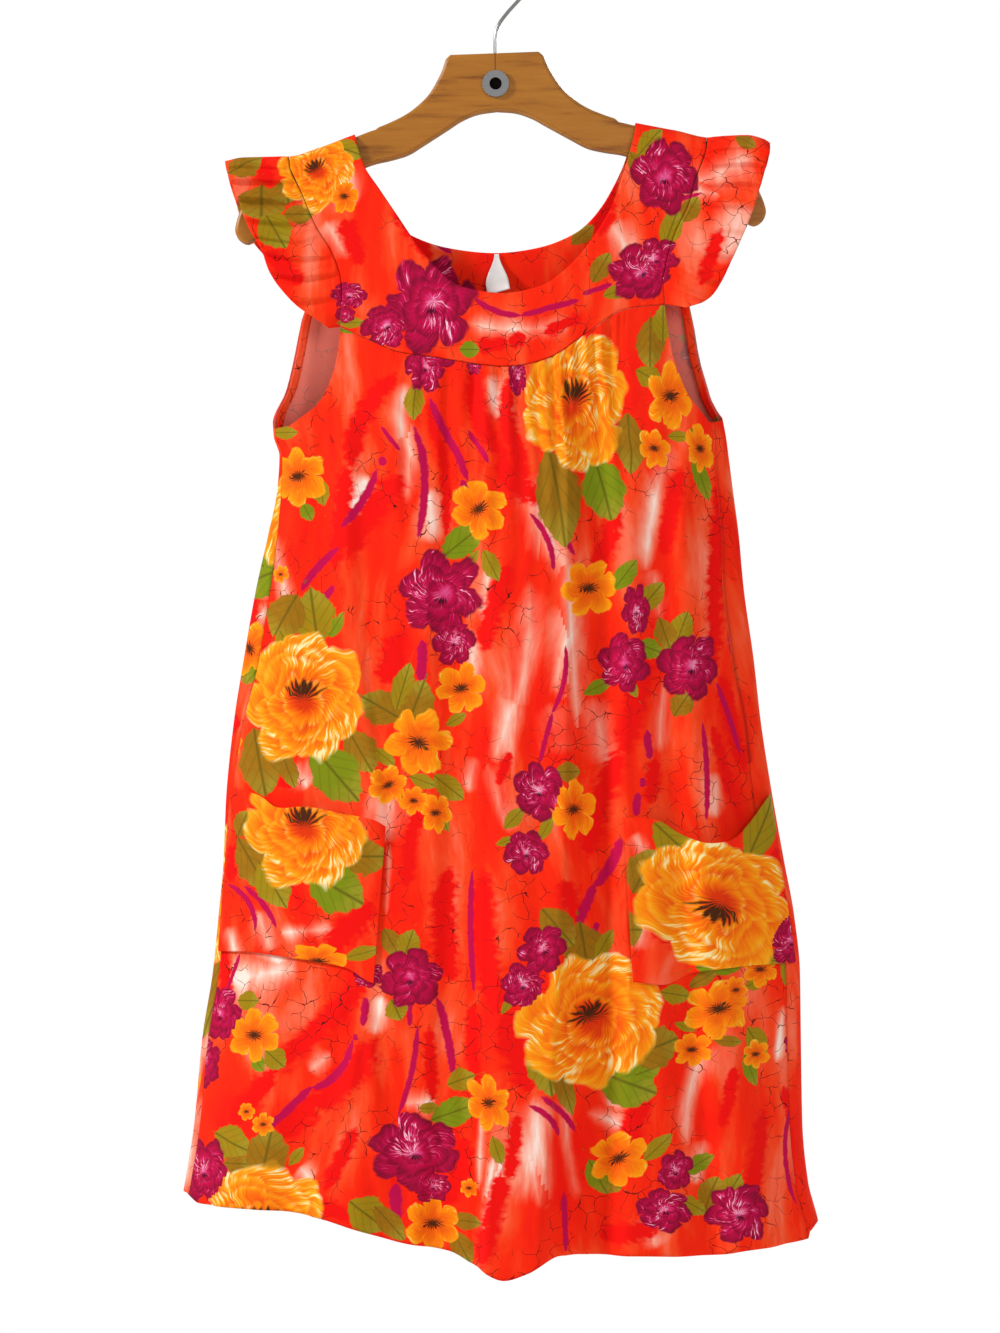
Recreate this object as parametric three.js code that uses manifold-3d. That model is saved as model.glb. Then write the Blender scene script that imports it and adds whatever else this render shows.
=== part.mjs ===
// A sleeveless tent dress with a gathered body, a U-shaped yoke, flutter sleeves and two patch
// pockets, hanging on a wooden hanger with a wire hook.
// Millimetres, +X to the viewer's right, +Y away from the viewer, +Z up.
// The origin is the top of the inside of the hook, where the hanger rests on a rail.

import * as THREE from 'three';
import Module from 'manifold-3d';
import { mergeVertices } from 'three/addons/utils/BufferGeometryUtils.js';

// Driving dimensions
const WALL = 2.0;
const BAND_WALL = 1.2;
const BAND_WIDTH = 7;
const BAND_INSET = 0.8;
const BAND_END = 0.15;
const BAND_GAP = 1.1;
const BAND_SIDE_GAP = 1.2;
const SEAM_GAP = 0.4;
const YOKE_SEAM_GAP = 0.6;
const SLEEVE_SEAM_GAP = 0.56;
const SHOULDER_ROLL = 10;
const SEAT_GAP = 0.87;
const GATHER_HEIGHT = 2.4;
const GATHER_LENGTH = 105;
const GATHER_START = 15;
const GATHER_UNEVENNESS = 0.25;
const GATHER_BEATS = 3.7;
const RUFFLE_BEATS = 3;
const RUFFLE_HEIGHT = 3.6;
const RUFFLE_FLARE = 8;
const RUFFLE_START = 30;
const FRONT_GATHERS = 13;
const BACK_GATHERS = 11;
const COLUMNS_PER_GATHER = 4;
const RUFFLES = 16;
const COLUMNS_PER_RUFFLE = 4;
const POCKET_STANDOFF = 1.0;
const HEM_LEVEL = -1075;
const BACK_SPREAD = 0.075;
const PANEL_ROWS = 13;
const YOKE_GRID = { frontColumns: 51, backColumns: 54, rows: 4 };
const SLEEVE_ROWS = 3;
const POCKET_GRID = { columns: 12, rows: 7 };
const BAND_COLUMNS = 36;

// Hanger dimensions
const HANGER_TILT = THREE.MathUtils.degToRad(2.1);
const BOARD_THICKNESS = 12;
const BOARD_ROUNDING = 5;
const RING_CENTRE = new THREE.Vector2(-1.2, -112.4);
const RING_RADIUS = 11.5;
const RING_HOLE = 5.2;
const RING_DEPTH = 2.4;
const RING_FLUTES = 24;
const WIRE_RADIUS = 1.5;
const HOOK_RADIUS = 25;
const STEM_DEPTH = 9;
const STEM_CLEARANCE = 0.3;
const RING_STANDOFF = 0.3;
const FLUTE_DEPTH = 0.7;

// Turns rows of numbers under named columns into a list of objects
function table(columns, rows) {
  const names = columns.split(' ');
  return rows.map((row) => Object.fromEntries(names.map((name, i) => [name, row[i]])));
}

// Sections of the hanging dress: its two sides, its depth to the front and the back of the
// hanger's plane, and how far each side seam sits in front of the side fold
const SECTIONS = table('z left right front back seamLeft seamRight', [
  [-120, -420, 420, 10, 10, 2, 9],
  [-200, -300, 300, 12, 11, 2, 9],
  [-260, -215, 215, 15, 13, 2, 9],
  [-281, -190, 190, 16.5, 14.5, 2, 9],
  [-300, -178, 179, 18, 16, 2, 9],
  [-315, -177, 178, 19, 17, 2, 9],
  [-340, -179, 179, 22, 19, 2, 9],
  [-365, -183, 184, 26, 22, 2, 9],
  [-392, -188.5, 189.5, 30, 26, 2, 9],
  [-408, -187.5, 192.5, 32, 27, 2, 10],
  [-424, -182.8, 194.5, 34, 28, 3, 12],
  [-450, -184.3, 197.8, 36, 30, 4, 13],
  [-492, -192.6, 203.3, 40, 32, 9, 15],
  [-537, -202.6, 207.5, 43, 35, 13, 18],
  [-594, -212.6, 215.5, 46, 38, 14, 19],
  [-650, -221.4, 222, 50, 42, 9, 15],
  [-712, -227.6, 231.8, 54, 45, 6, 17],
  [-766, -229.8, 241.5, 58, 48, 6, 15],
  [-809, -233.8, 249.5, 60, 50, 6, 14],
  [-858, -238.8, 254.5, 63, 52, 6, 13],
  [-910, -247.2, 255.2, 66, 55, 6, 13],
  [-985, -254.5, 256.5, 71, 59, 6, 12],
  [-1033, -262, 261.2, 74, 61, 6, 12],
  [-1068, -268, 270, 76, 63, 6, 12],
  [-1110, -272, 275, 78, 65, 6, 12],
]);

// Top line of the cloth over the shoulders, from the tip of one sleeve to the other
const SHOULDER_LINE = table('x z', [
  [-235, -177.5],
  [-228, -176.4],
  [-214, -173.5],
  [-174, -172.5],
  [-148, -164.6],
  [-122, -155],
  [-95, -146.5],
  [95, -140.5],
  [117, -144.5],
  [149, -150.4],
  [178, -156.6],
  [192, -155.4],
  [210, -154.6],
  [224, -157.9],
  [235, -164],
]);

// Front yoke, from the left shoulder seam round the neck to the right one: neckline and outer edge
const FRONT_YOKE_ROWS = table('inX inZ outX outZ', [
  [-116.8, -165.5, -173, -184],
  [-110, -184, -164, -203],
  [-98.5, -201, -152, -231],
  [-85, -221, -138, -254],
  [-73, -239, -130, -280],
  [-62, -254.5, -131, -316.7],
  [-48, -270, -92.4, -334.3],
  [-30, -283, -48.7, -343],
  [4.2, -288.7, 5, -350.3],
  [35.3, -283.1, 43, -343],
  [52, -273, 73, -323.5],
  [66, -260, 107, -302],
  [76, -248, 140.3, -297.4],
  [86, -233, 139.5, -272],
  [97.4, -212.5, 148, -240],
  [105, -190, 159.6, -215],
  [110.5, -172, 167, -190],
  [115.1, -155.4, 174.7, -169],
]);
const FRONT_CORNER_ROWS = [5, 12];

// Back yoke, from the left shoulder seam over the shoulder, round the back neck and over the other.
// The first and last rows lie on the front face, short of the shoulder line.
const BACK_YOKE_ROWS = table('inX inZ outX outZ face', [
  [-116.8, -165.5, -173, -184, 1],
  [-118.6, -157.2, -173.8, -177, 1],
  [-119.5, -152.8, -174.2, -173, -1],
  [-117.5, -163, -172.5, -184, -1],
  [-111, -186, -168, -205, -1],
  [-101, -208, -162.5, -236, -1],
  [-88, -226, -158.8, -280.6, -1],
  [-74, -236.9, -112, -301, -1],
  [-45, -247.5, -62, -313, -1],
  [-3, -252.5, -2, -317, -1],
  [35, -248, 58, -311, -1],
  [62, -238, 108, -294, -1],
  [78, -226, 157, -262, -1],
  [93, -206, 162, -232, -1],
  [106, -180, 168, -200, -1],
  [114, -154, 174, -172, -1],
  [116.2, -144.5, 175.8, -156.2, -1],
  [116, -148, 175.4, -160, 1],
  [115.1, -155.4, 174.7, -169, 1],
]);
const BACK_CORNER_ROWS = [6, 12];

// Armholes, from the underarm up to the yoke corner
const FRONT_ARMHOLE_ROWS = {
  left: table('x z face', [
    [-187, -401.5, 1],
    [-176, -399.8, 1],
    [-166, -394, 1],
    [-150.4, -382.2, 1],
    [-139, -361.2, 1],
    [-133.6, -340.2, 1],
    [-131, -317.6, 1],
  ]),
  right: table('x z face', [
    [178, -397, 1],
    [168.8, -385, 1],
    [159.6, -373, 1],
    [153.7, -359.5, 1],
    [145.7, -334.3, 1],
    [142.4, -314, 1],
    [140.3, -298.3, 1],
  ]),
};
const BACK_ARMHOLE_ROWS = {
  left: table('x z face', [
    [-187, -401.5, 1],
    [-187.6, -391, -1],
    [-181.5, -378, -1],
    [-176.4, -365.4, -1],
    [-170.5, -340.2, -1],
    [-164.5, -310, -1],
    [-158.8, -281.6, -1],
  ]),
  right: table('x z face', [
    [178, -397, 1],
    [188.6, -391, -1],
    [181.5, -378.8, -1],
    [177, -365.4, -1],
    [169.5, -338, -1],
    [162.8, -300.7, -1],
    [157, -263, -1],
  ]),
};

// Lower edge of the front and the back
const HEM = table('x front back', [
  [-268, -1041, -1041],
  [-252, -1048.6, -1046],
  [-224, -1049.4, -1050],
  [-182, -1050.8, -1055],
  [-150, -1055, -1060],
  [-120, -1063.4, -1064],
  [-78, -1075.2, -1068],
  [-40, -1082, -1072],
  [-16, -1093.7, -1074],
  [5, -1102.9, -1075],
  [25, -1097, -1076],
  [40, -1089, -1077],
  [54, -1085.3, -1077],
  [101, -1085.3, -1078],
  [174, -1087, -1078],
  [205, -1083.6, -1077],
  [236, -1081, -1076],
  [261, -1078, -1073],
  [272, -1066, -1066],
]);

// Long folds: ridges with a positive rise, troughs with a negative one. Each has its centre at
// three heights, its half width at both ends, and the run of its left and right flanks.
const FOLD_COLUMNS = 'face top end xTop xMid xEnd halfTop halfEnd flankLeft flankRight riseTop riseEnd';
const FOLDS = table(FOLD_COLUMNS, [
  [1, -345, -1300, 22, 31, 16, 45, 34, 9, 17, 3, 20],
  [1, -385, -765, -131, -122, -93, 17, 13, 17, 10, 3.5, 4.5],
  [1, -345, -540, -85, -86, -77, 12, 11, 12, 9, 3, 2],
  [1, -350, -640, -62, -63, -60, 11, 16, 9, 11, 2.5, 2],
  [1, -360, -1300, -42, -32, -46, 17, 24, 17, 15, -2, -7],
  [1, -330, -1300, 84, 88, 78, 14, 24, 12, 20, -2.5, -8],
  [1, -380, -1300, 112, 120, 132, 18, 42, 18, 30, 2, 9],
  [1, -430, -1300, 158, 176, 210, 20, 34, 18, 24, 2.5, 9],
  [1, -400, -700, -163, -172, -184, 18, 22, 18, 18, 3, 3],
  [1, -860, -1300, -104, -112, -130, 20, 40, 18, 30, 2, 9],
  [1, -865, -1300, -184, -194, -212, 24, 38, 20, 26, 2, 8],
  [1, -868, -1070, -103, -96, -84, 9, 14, 7, 10, 3, 3],
  [-1, -320, -1300, -22, -16, -8, 22, 40, 16, 22, 3, 15],
  [-1, -330, -1300, 44, 60, 76, 20, 34, 18, 20, 3, 12],
  [-1, -345, -1300, -84, -96, -104, 18, 36, 16, 24, 2.5, 12],
  [-1, -380, -1300, 112, 128, 148, 18, 34, 15, 22, 2.5, 11],
  [-1, -400, -1300, -140, -158, -178, 20, 36, 18, 22, 2.5, 10],
  [-1, -420, -1300, 164, 184, 212, 16, 28, 14, 18, 2.5, 8],
  [-1, -430, -1300, -178, -200, -228, 12, 20, 11, 14, 2, 6],
]);
const FOLD_FADE = 60;

// Flutter sleeves: the yoke rows that each is sewn to, from the front corner over the shoulder to
// the back corner, and the place of its free edge beside each row
const SLEEVES = {
  left: table('yoke row edgeX edgeZ', [
    ['front', 5, -140.3, -318.4],
    ['front', 4, -184, -281],
    ['front', 3, -197.4, -252],
    ['front', 2, -209, -231],
    ['front', 1, -219, -204],
    ['front', 0, -227, -184],
    ['back', 2, -228, -176.4],
    ['back', 3, -227, -186],
    ['back', 4, -221, -207],
    ['back', 5, -208, -240],
    ['back', 6, -167, -284],
  ]),
  right: table('yoke row edgeX edgeZ', [
    ['front', 12, 158, -301],
    ['front', 13, 182, -288],
    ['front', 14, 199, -255],
    ['front', 15, 213, -222],
    ['front', 16, 222, -193],
    ['front', 17, 228, -172],
    ['back', 16, 229, -160],
    ['back', 15, 227, -174],
    ['back', 14, 220, -202],
    ['back', 13, 205, -236],
    ['back', 12, 166, -266],
  ]),
};

// Patch pockets, from one side to the other: mouth and lower edge
const POCKETS = {
  left: table('topX topZ lowX lowZ', [
    [-221, -702, -231, -839],
    [-196, -708, -205, -838.5],
    [-179, -718, -178, -841.5],
    [-155, -717, -152, -845],
    [-127, -722.5, -125, -850],
    [-102, -727.4, -108, -860],
    [-91.6, -733.3, -101.6, -862.7],
  ]),
  right: table('topX topZ lowX lowZ', [
    [103.3, -725.8, 110.9, -861],
    [129.4, -727.4, 138, -863.5],
    [150.4, -740, 160, -855],
    [169.7, -746.8, 182, -851.5],
    [190.7, -743.4, 205, -849.5],
    [205, -730.8, 222, -849],
    [220, -712, 238, -848.5],
    [227, -707.3, 248, -848.4],
  ]),
};
const POCKET_BULGE = { left: 8, right: 13 };

// Blank folded label inside the back neck
const LABEL = { left: -11, right: 8, top: -253.5, bottom: -286, curl: 7, thickness: 1 };

// Half outline of the hanger board from its top middle to the middle of its lower arch, measured
// from the centre of the ring
const BOARD_HALF = table('x z', [
  [37, 26],
  [41, 22.5],
  [45.5, 11],
  [53, -2],
  [60.5, -11],
  [75.6, -22.3],
  [96.6, -31.5],
  [117.6, -37.6],
  [149.5, -45],
  [178, -56.5],
  [200, -73],
  [215, -92.4],
  [222, -109],
  [222.4, -118],
  [217, -125],
  [206.6, -124.3],
  [170, -98],
  [138.6, -78],
  [109.2, -64.7],
  [89, -60.2],
  [75, -56.3],
  [61.3, -48.6],
  [40.3, -36.1],
  [29.4, -29.6],
  [16, -24.6],
  [0, -22.7],
]);
const OUTLINE_STEP = 9;
const SEAT_START = 100;
const BOARD_TOP_LEVEL = RING_CENTRE.y + BOARD_HALF[0].z;
const STEM_X = RING_CENTRE.x;

// Smooth value of a column at a place along the key column, held past both ends
function along(rows, key, column, at) {
  const rising = rows[1][key] > rows[0][key];
  const last = rows.length - 1;
  const before = (row) => (rising ? row[key] <= at : row[key] >= at);
  if (!before(rows[0])) return rows[0][column];
  if (before(rows[last])) return rows[last][column];
  let i = 0;
  while (before(rows[i + 1])) i += 1;
  const grade = (k) => (rows[k + 1][column] - rows[k][column]) / (rows[k + 1][key] - rows[k][key]);
  const slopeAt = (k) => {
    if (k === 0 || k === last) return 0;
    const [a, b] = [grade(k - 1), grade(k)];
    return a * b <= 0 ? 0 : (2 * a * b) / (a + b);
  };
  const run = rows[i + 1][key] - rows[i][key];
  const t = (at - rows[i][key]) / run;
  const rise = (1 + 2 * t) * (1 - t) ** 2 * rows[i][column] + t * t * (3 - 2 * t) * rows[i + 1][column];
  return rise + run * (t * (1 - t) ** 2 * slopeAt(i) - t * t * (1 - t) * slopeAt(i + 1));
}

// Smooth run of a column by row number, with a break in direction at the corner rows
function run(rows, column, at, corners = []) {
  const i = Math.min(Math.floor(at), rows.length - 2);
  const t = at - i;
  const [p1, p2] = [rows[i][column], rows[i + 1][column]];
  const p0 = i === 0 || corners.includes(i) ? 2 * p1 - p2 : rows[i - 1][column];
  const p3 = i + 2 === rows.length || corners.includes(i + 1) ? 2 * p2 - p1 : rows[i + 2][column];
  const bend = 2 * p0 - 5 * p1 + 4 * p2 - p3;
  const twist = 3 * p1 - p0 - 3 * p2 + p3;
  return p1 + 0.5 * t * (p2 - p0 + t * (bend + t * twist));
}

function smooth(value) {
  const t = THREE.MathUtils.clamp(value, 0, 1);
  return t * t * (3 - 2 * t);
}

function section(z) {
  const left = along(SECTIONS, 'z', 'left', z);
  const right = along(SECTIONS, 'z', 'right', z);
  return {
    centre: (left + right) / 2,
    half: (right - left) / 2,
    front: along(SECTIONS, 'z', 'front', z),
    back: along(SECTIONS, 'z', 'back', z),
  };
}

// Angle round the section, 0 at the front, a quarter turn at the right side
function angleOf(x, z, face) {
  const { centre, half } = section(z);
  const turn = Math.asin(THREE.MathUtils.clamp((x - centre) / half, -1, 1));
  if (face > 0) return turn;
  return x >= centre ? Math.PI - turn : -Math.PI - turn;
}

// Angle round the section of a point near the cloth
function angleNear(point) {
  const { centre, half, front, back } = section(point.z);
  return Math.atan2((point.x - centre) / half, -point.y / (point.y < 0 ? front : back));
}

// Rise of the long folds over the smooth section
function foldRise(face, x, z) {
  let rise = 0;
  for (const fold of FOLDS) {
    if (fold.face !== face || z > fold.top || z < fold.end) continue;
    const floor = Math.max(fold.end, HEM_LEVEL);
    const t = Math.min(1, (z - fold.top) / (floor - fold.top));
    const straight = (1 - t) * (1 - t) * fold.xTop + t * t * fold.xEnd;
    const centre = straight + 2 * t * (1 - t) * (2 * fold.xMid - (fold.xTop + fold.xEnd) / 2);
    const half = THREE.MathUtils.lerp(fold.halfTop, fold.halfEnd, t);
    const leftFlank = smooth((x - centre + half) / fold.flankLeft);
    const rightFlank = smooth((centre + half - x) / fold.flankRight);
    const ends = smooth((fold.top - z) / FOLD_FADE) * smooth((z - fold.end) / FOLD_FADE);
    rise += THREE.MathUtils.lerp(fold.riseTop, fold.riseEnd, t) * leftFlank * rightFlank * ends;
  }
  return rise;
}

// A place on the body's cloth and the way out of it
function onBody(angle, z, lift) {
  const { centre, half, front, back } = section(z);
  const depth = Math.cos(angle) > 0 ? front : back;
  const normal = new THREE.Vector3(Math.sin(angle) / half, -Math.cos(angle) / depth, 0).normalize();
  const point = new THREE.Vector3(centre + half * Math.sin(angle), -depth * Math.cos(angle), z);
  const side = Math.abs(Math.cos(angle));
  const folds = foldRise(Math.sign(Math.cos(angle)), point.x, z) * smooth(side * 2.5);
  return { point: point.addScaledVector(normal, folds + lift), normal };
}

// Distance over the cloth from the shoulder line down to a height
function dropOf(x, z) {
  const below = along(SHOULDER_LINE, 'x', 'z', x) - z;
  if (below < SHOULDER_ROLL) return SHOULDER_ROLL * Math.acos(1 - Math.max(0, below) / SHOULDER_ROLL);
  return below - SHOULDER_ROLL + (SHOULDER_ROLL * Math.PI) / 2;
}

// A place on the yoke or a sleeve: drop is the distance from the shoulder line, positive in front
function onShoulder(x, drop, lift) {
  const quarter = (SHOULDER_ROLL * Math.PI) / 2;
  const lean = Math.min(Math.abs(drop), quarter) / SHOULDER_ROLL;
  const below = Math.max(0, Math.abs(drop) - quarter);
  const z = along(SHOULDER_LINE, 'x', 'z', x) - SHOULDER_ROLL * (1 - Math.cos(lean)) - below;
  const { centre, half, front, back } = section(z);
  const away = (x - centre) / half;
  const depth = (drop > 0 ? front : back) * Math.sqrt(Math.max(0, 1 - away * away));
  const side = drop > 0 ? -1 : 1;
  const out = new THREE.Vector3((away * depth) / half, side, 0).normalize();
  const normal = out.multiplyScalar(Math.sin(lean)).add(new THREE.Vector3(0, 0, Math.cos(lean)));
  const point = new THREE.Vector3(x, side * depth * Math.sin(lean), z);
  normal.normalize();
  return { point: point.addScaledVector(normal, lift), normal };
}

// Distances from the shoulder line down to a yoke's two edges, negative behind
function yokeDrops(yoke) {
  return yoke.map(({ inX, inZ, outX, outZ, face = 1 }) => ({
    inner: face * dropOf(inX, inZ),
    outer: face * dropOf(outX, outZ),
  }));
}

// A place on a yoke, by row number along it and share from the neckline to the outer edge
function onYoke({ rows, corners, drops }, at, share) {
  const x = THREE.MathUtils.lerp(run(rows, 'inX', at), run(rows, 'outX', at, corners), share);
  const drop = THREE.MathUtils.lerp(run(drops, 'inner', at), run(drops, 'outer', at, corners), share);
  return onShoulder(x, drop, 0);
}

// Closed wall from a grid of places, each with the way out of it; the grid is the outer face
function wallGeometry(columns, rows, placeAt, thickness) {
  const positions = [];
  const indices = [];
  const across = rows + 1;
  const faceSize = (columns + 1) * across;
  const grid = [];
  for (let i = 0; i <= columns; i += 1) {
    for (let j = 0; j <= rows; j += 1) grid.push(placeAt(i / columns, j / rows, i, j));
  }
  for (const { point } of grid) positions.push(point.x, point.y, point.z);
  for (const { point, normal } of grid) {
    const inner = point.clone().addScaledVector(normal, -thickness);
    positions.push(inner.x, inner.y, inner.z);
  }
  const middle = Math.floor(columns / 2) * across + Math.floor(rows / 2);
  const alongColumn = grid[middle + 1].point.clone().sub(grid[middle].point);
  const alongRow = grid[middle + across].point.clone().sub(grid[middle].point);
  const outward = alongRow.cross(alongColumn).dot(grid[middle].normal) > 0;
  const quad = (a, b, c, d) => {
    if (outward) indices.push(a, b, c, a, c, d);
    else indices.push(a, c, b, a, d, c);
  };
  for (let i = 0; i < columns; i += 1) {
    for (let j = 0; j < rows; j += 1) {
      const a = i * across + j;
      quad(a, a + across, a + across + 1, a + 1);
      quad(faceSize + a, faceSize + a + 1, faceSize + a + across + 1, faceSize + a + across);
    }
  }
  const rim = (a, b) => quad(a, b, b + faceSize, a + faceSize);
  for (let i = 0; i < columns; i += 1) {
    rim((i + 1) * across, i * across);
    rim(i * across + rows, (i + 1) * across + rows);
  }
  for (let j = 0; j < rows; j += 1) {
    rim(j, j + 1);
    rim(columns * across + j + 1, columns * across + j);
  }
  const geometry = new THREE.BufferGeometry();
  geometry.setAttribute('position', new THREE.Float32BufferAttribute(positions, 3));
  geometry.setIndex(indices);
  return geometry;
}

// Share of the full height that a gather or ruffle has at a place along its seam
function unevenness(share, beats) {
  return 1 - GATHER_UNEVENNESS + GATHER_UNEVENNESS * Math.sin(2 * Math.PI * beats * share);
}

// Columns of a body panel: armhole, plain yoke seam, gathers, plain yoke seam, armhole
function panelColumns(panel) {
  const { yoke, armholes, gathers, plain, armholeColumns } = panel;
  const [firstCorner, lastCorner] = yoke.corners;
  const columns = [];
  const seamPlace = (at) => {
    const { point } = onYoke(yoke, at, 1);
    const z = point.z - YOKE_SEAM_GAP;
    return { angle: angleOf(point.x, z, panel.face), z };
  };
  const armholePlace = (rows, share) => {
    const at = share ** 1.5 * (rows.length - 1);
    return { angle: run(rows, 'angle', at), z: run(rows, 'z', at), gather: 0 };
  };
  for (let i = 0; i < armholeColumns; i += 1) {
    columns.push(armholePlace(armholes.left, i / armholeColumns));
  }
  const start = firstCorner + plain.left;
  const end = lastCorner - plain.right;
  for (let i = 0; i < plain.columns; i += 1) {
    columns.push({ ...seamPlace(firstCorner + (plain.left * i) / plain.columns), gather: 0 });
  }
  const gatherColumns = gathers * COLUMNS_PER_GATHER;
  for (let i = 0; i < gatherColumns; i += 1) {
    const across = i / gatherColumns;
    const wave = Math.sin((2 * Math.PI * i) / COLUMNS_PER_GATHER) * unevenness(across, GATHER_BEATS);
    const ends = smooth(6 * across) * smooth(6 - 6 * across);
    columns.push({ ...seamPlace(THREE.MathUtils.lerp(start, end, across)), gather: wave * ends });
  }
  for (let i = 0; i < plain.columns; i += 1) {
    columns.push({ ...seamPlace(end + (plain.right * i) / plain.columns), gather: 0 });
  }
  for (let i = armholeColumns; i >= 0; i -= 1) {
    columns.push(armholePlace(armholes.right, i / armholeColumns));
  }
  return columns;
}

// Angle of a panel's side seam; the back panel keeps the seam gap from the front one
function seamAngle(side, z, face) {
  const { half, front } = section(z);
  const inset = along(SECTIONS, 'z', side < 0 ? 'seamLeft' : 'seamRight', z);
  const angle = Math.asin((half - inset) / half);
  const gap = face > 0 ? 0 : SEAM_GAP / Math.hypot(half * Math.cos(angle), front * Math.sin(angle));
  return side * (angle + gap);
}

// Angle at a share of a panel's width between its two side seams
function panelAngle(face, share, z) {
  const left = seamAngle(-1, z, face);
  const right = seamAngle(1, z, face);
  if (face > 0) return Math.asin(THREE.MathUtils.lerp(Math.sin(left), Math.sin(right), share));
  return THREE.MathUtils.lerp(left, right - 2 * Math.PI, share);
}

function panelShare(face, angle, z) {
  const left = seamAngle(-1, z, face);
  const right = seamAngle(1, z, face);
  if (face > 0) return (Math.sin(angle) - Math.sin(left)) / (Math.sin(right) - Math.sin(left));
  return (angle - left) / (right - 2 * Math.PI - left);
}

// Front or back panel of the body
function panelGeometry(panel) {
  const { face } = panel;
  const columns = panelColumns(panel);
  const count = columns.length - 1;
  return wallGeometry(count, PANEL_ROWS, (u, v, i) => {
    const top = columns[i];
    const topAngle = top.angle - (face < 0 && top.angle > 0 ? 2 * Math.PI : 0);
    const atSeam = i === 0 || i === count;
    const topShare = atSeam ? i / count : panelShare(face, topAngle, top.z);
    const lowShare = face > 0 ? u : u + BACK_SPREAD * Math.sin(2 * Math.PI * u);
    const hemX = onBody(panelAngle(atSeam ? 1 : face, lowShare, HEM_LEVEL), HEM_LEVEL, 0).point.x;
    const hemZ = along(HEM, 'x', atSeam || face > 0 ? 'front' : 'back', hemX);
    const level = v ** 1.25;
    const z = THREE.MathUtils.lerp(top.z, hemZ, level);
    const share = THREE.MathUtils.lerp(topShare, lowShare, 0.5 * (smooth(level) + level));
    const drop = top.z - z;
    const fade = (0.5 + 0.5 * smooth(drop / GATHER_START)) * Math.exp(-drop / GATHER_LENGTH);
    return onBody(panelAngle(face, share, z), z, GATHER_HEIGHT * top.gather * fade);
  }, WALL);
}

// Yoke band between its neckline and its outer edge
function yokeGeometry(yoke, columns) {
  const last = yoke.rows.length - 1;
  return wallGeometry(columns, YOKE_GRID.rows, (u, v) => onYoke(yoke, u * last, v), WALL);
}

// Gathered strip folded over the shoulder and sewn to the outer edge of both yokes
function sleeveGeometry(rows) {
  const away = Math.sign(rows[0].edgeX);
  const places = rows.map(({ yoke, row, edgeX, edgeZ }) => {
    const seam = (yoke === 'front' ? FRONT_YOKE_ROWS : BACK_YOKE_ROWS)[row];
    const face = yoke === 'front' ? 1 : -1;
    return {
      seamX: seam.outX + away * SLEEVE_SEAM_GAP,
      seamDrop: face * dropOf(seam.outX, seam.outZ),
      edgeX,
      edgeDrop: face * dropOf(edgeX, edgeZ),
    };
  });
  return wallGeometry(RUFFLES * COLUMNS_PER_RUFFLE, SLEEVE_ROWS, (u, v, i) => {
    const at = u * (places.length - 1);
    const x = THREE.MathUtils.lerp(run(places, 'seamX', at), run(places, 'edgeX', at), v);
    const drop = THREE.MathUtils.lerp(run(places, 'seamDrop', at), run(places, 'edgeDrop', at), v);
    const nearFold = smooth(Math.abs(drop) / RUFFLE_START);
    const wave = Math.sin((2 * Math.PI * i) / COLUMNS_PER_RUFFLE) * unevenness(u, RUFFLE_BEATS) * nearFold;
    const ends = smooth(u * 12) * smooth((1 - u) * 12);
    const lift = RUFFLE_FLARE * v * nearFold + RUFFLE_HEIGHT * wave * ends * v ** 0.7;
    return onShoulder(x, drop, lift);
  }, WALL);
}

// Patch pocket made from the front panel's own surface, moved out
function pocketGeometry(rows, bulge) {
  return wallGeometry(POCKET_GRID.columns, POCKET_GRID.rows, (u, v) => {
    const at = u * (rows.length - 1);
    const x = THREE.MathUtils.lerp(run(rows, 'topX', at), run(rows, 'lowX', at), v);
    const z = THREE.MathUtils.lerp(run(rows, 'topZ', at), run(rows, 'lowZ', at), v);
    const hang = Math.sin(Math.PI * u) * (1 - v) ** 1.5;
    return onBody(angleOf(x, z, 1), z, POCKET_STANDOFF + WALL + bulge * hang);
  }, WALL);
}

// Bias band turned inside an armhole, from the front yoke corner down and up to the back one
function bandGeometry(front, back, side) {
  const edge = [...front].reverse().concat(back.slice(1));
  const last = edge.length - 1;
  const behindCloth = (angle, z) => {
    const sideGap = BAND_SIDE_GAP * smooth(1 - 3 * Math.abs(Math.cos(angle)));
    return onBody(angle, z, -WALL - BAND_GAP - sideGap);
  };
  const edgeAt = (at) => onBody(run(edge, 'angle', at), run(edge, 'z', at), 0);
  return wallGeometry(BAND_COLUMNS, 1, (u, v) => {
    const at = THREE.MathUtils.lerp(BAND_END, last - BAND_END, u);
    const { point, normal } = edgeAt(at);
    const inward = edgeAt(at + 0.02).point.sub(edgeAt(at - 0.02).point).cross(normal);
    inward.setLength(side * THREE.MathUtils.lerp(BAND_INSET, BAND_WIDTH, v));
    const place = point.clone().add(inward);
    return behindCloth(angleNear(place), place.z);
  }, BAND_WALL);
}

// Blank label hanging from the back neck
function labelGeometry() {
  const { left, right, top, bottom, curl, thickness } = LABEL;
  return wallGeometry(4, 5, (u, v) => {
    const x = THREE.MathUtils.lerp(left, right, u) + 3 * v * v;
    const z = THREE.MathUtils.lerp(top, bottom, v) + 5 * v * (u - 0.5);
    const face = along(SECTIONS, 'z', 'back', z) - WALL - SEAM_GAP;
    const point = new THREE.Vector3(x, face - curl * v * v * (0.35 + u), z);
    return { point, normal: new THREE.Vector3(0, 1, 0) };
  }, thickness);
}

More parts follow.
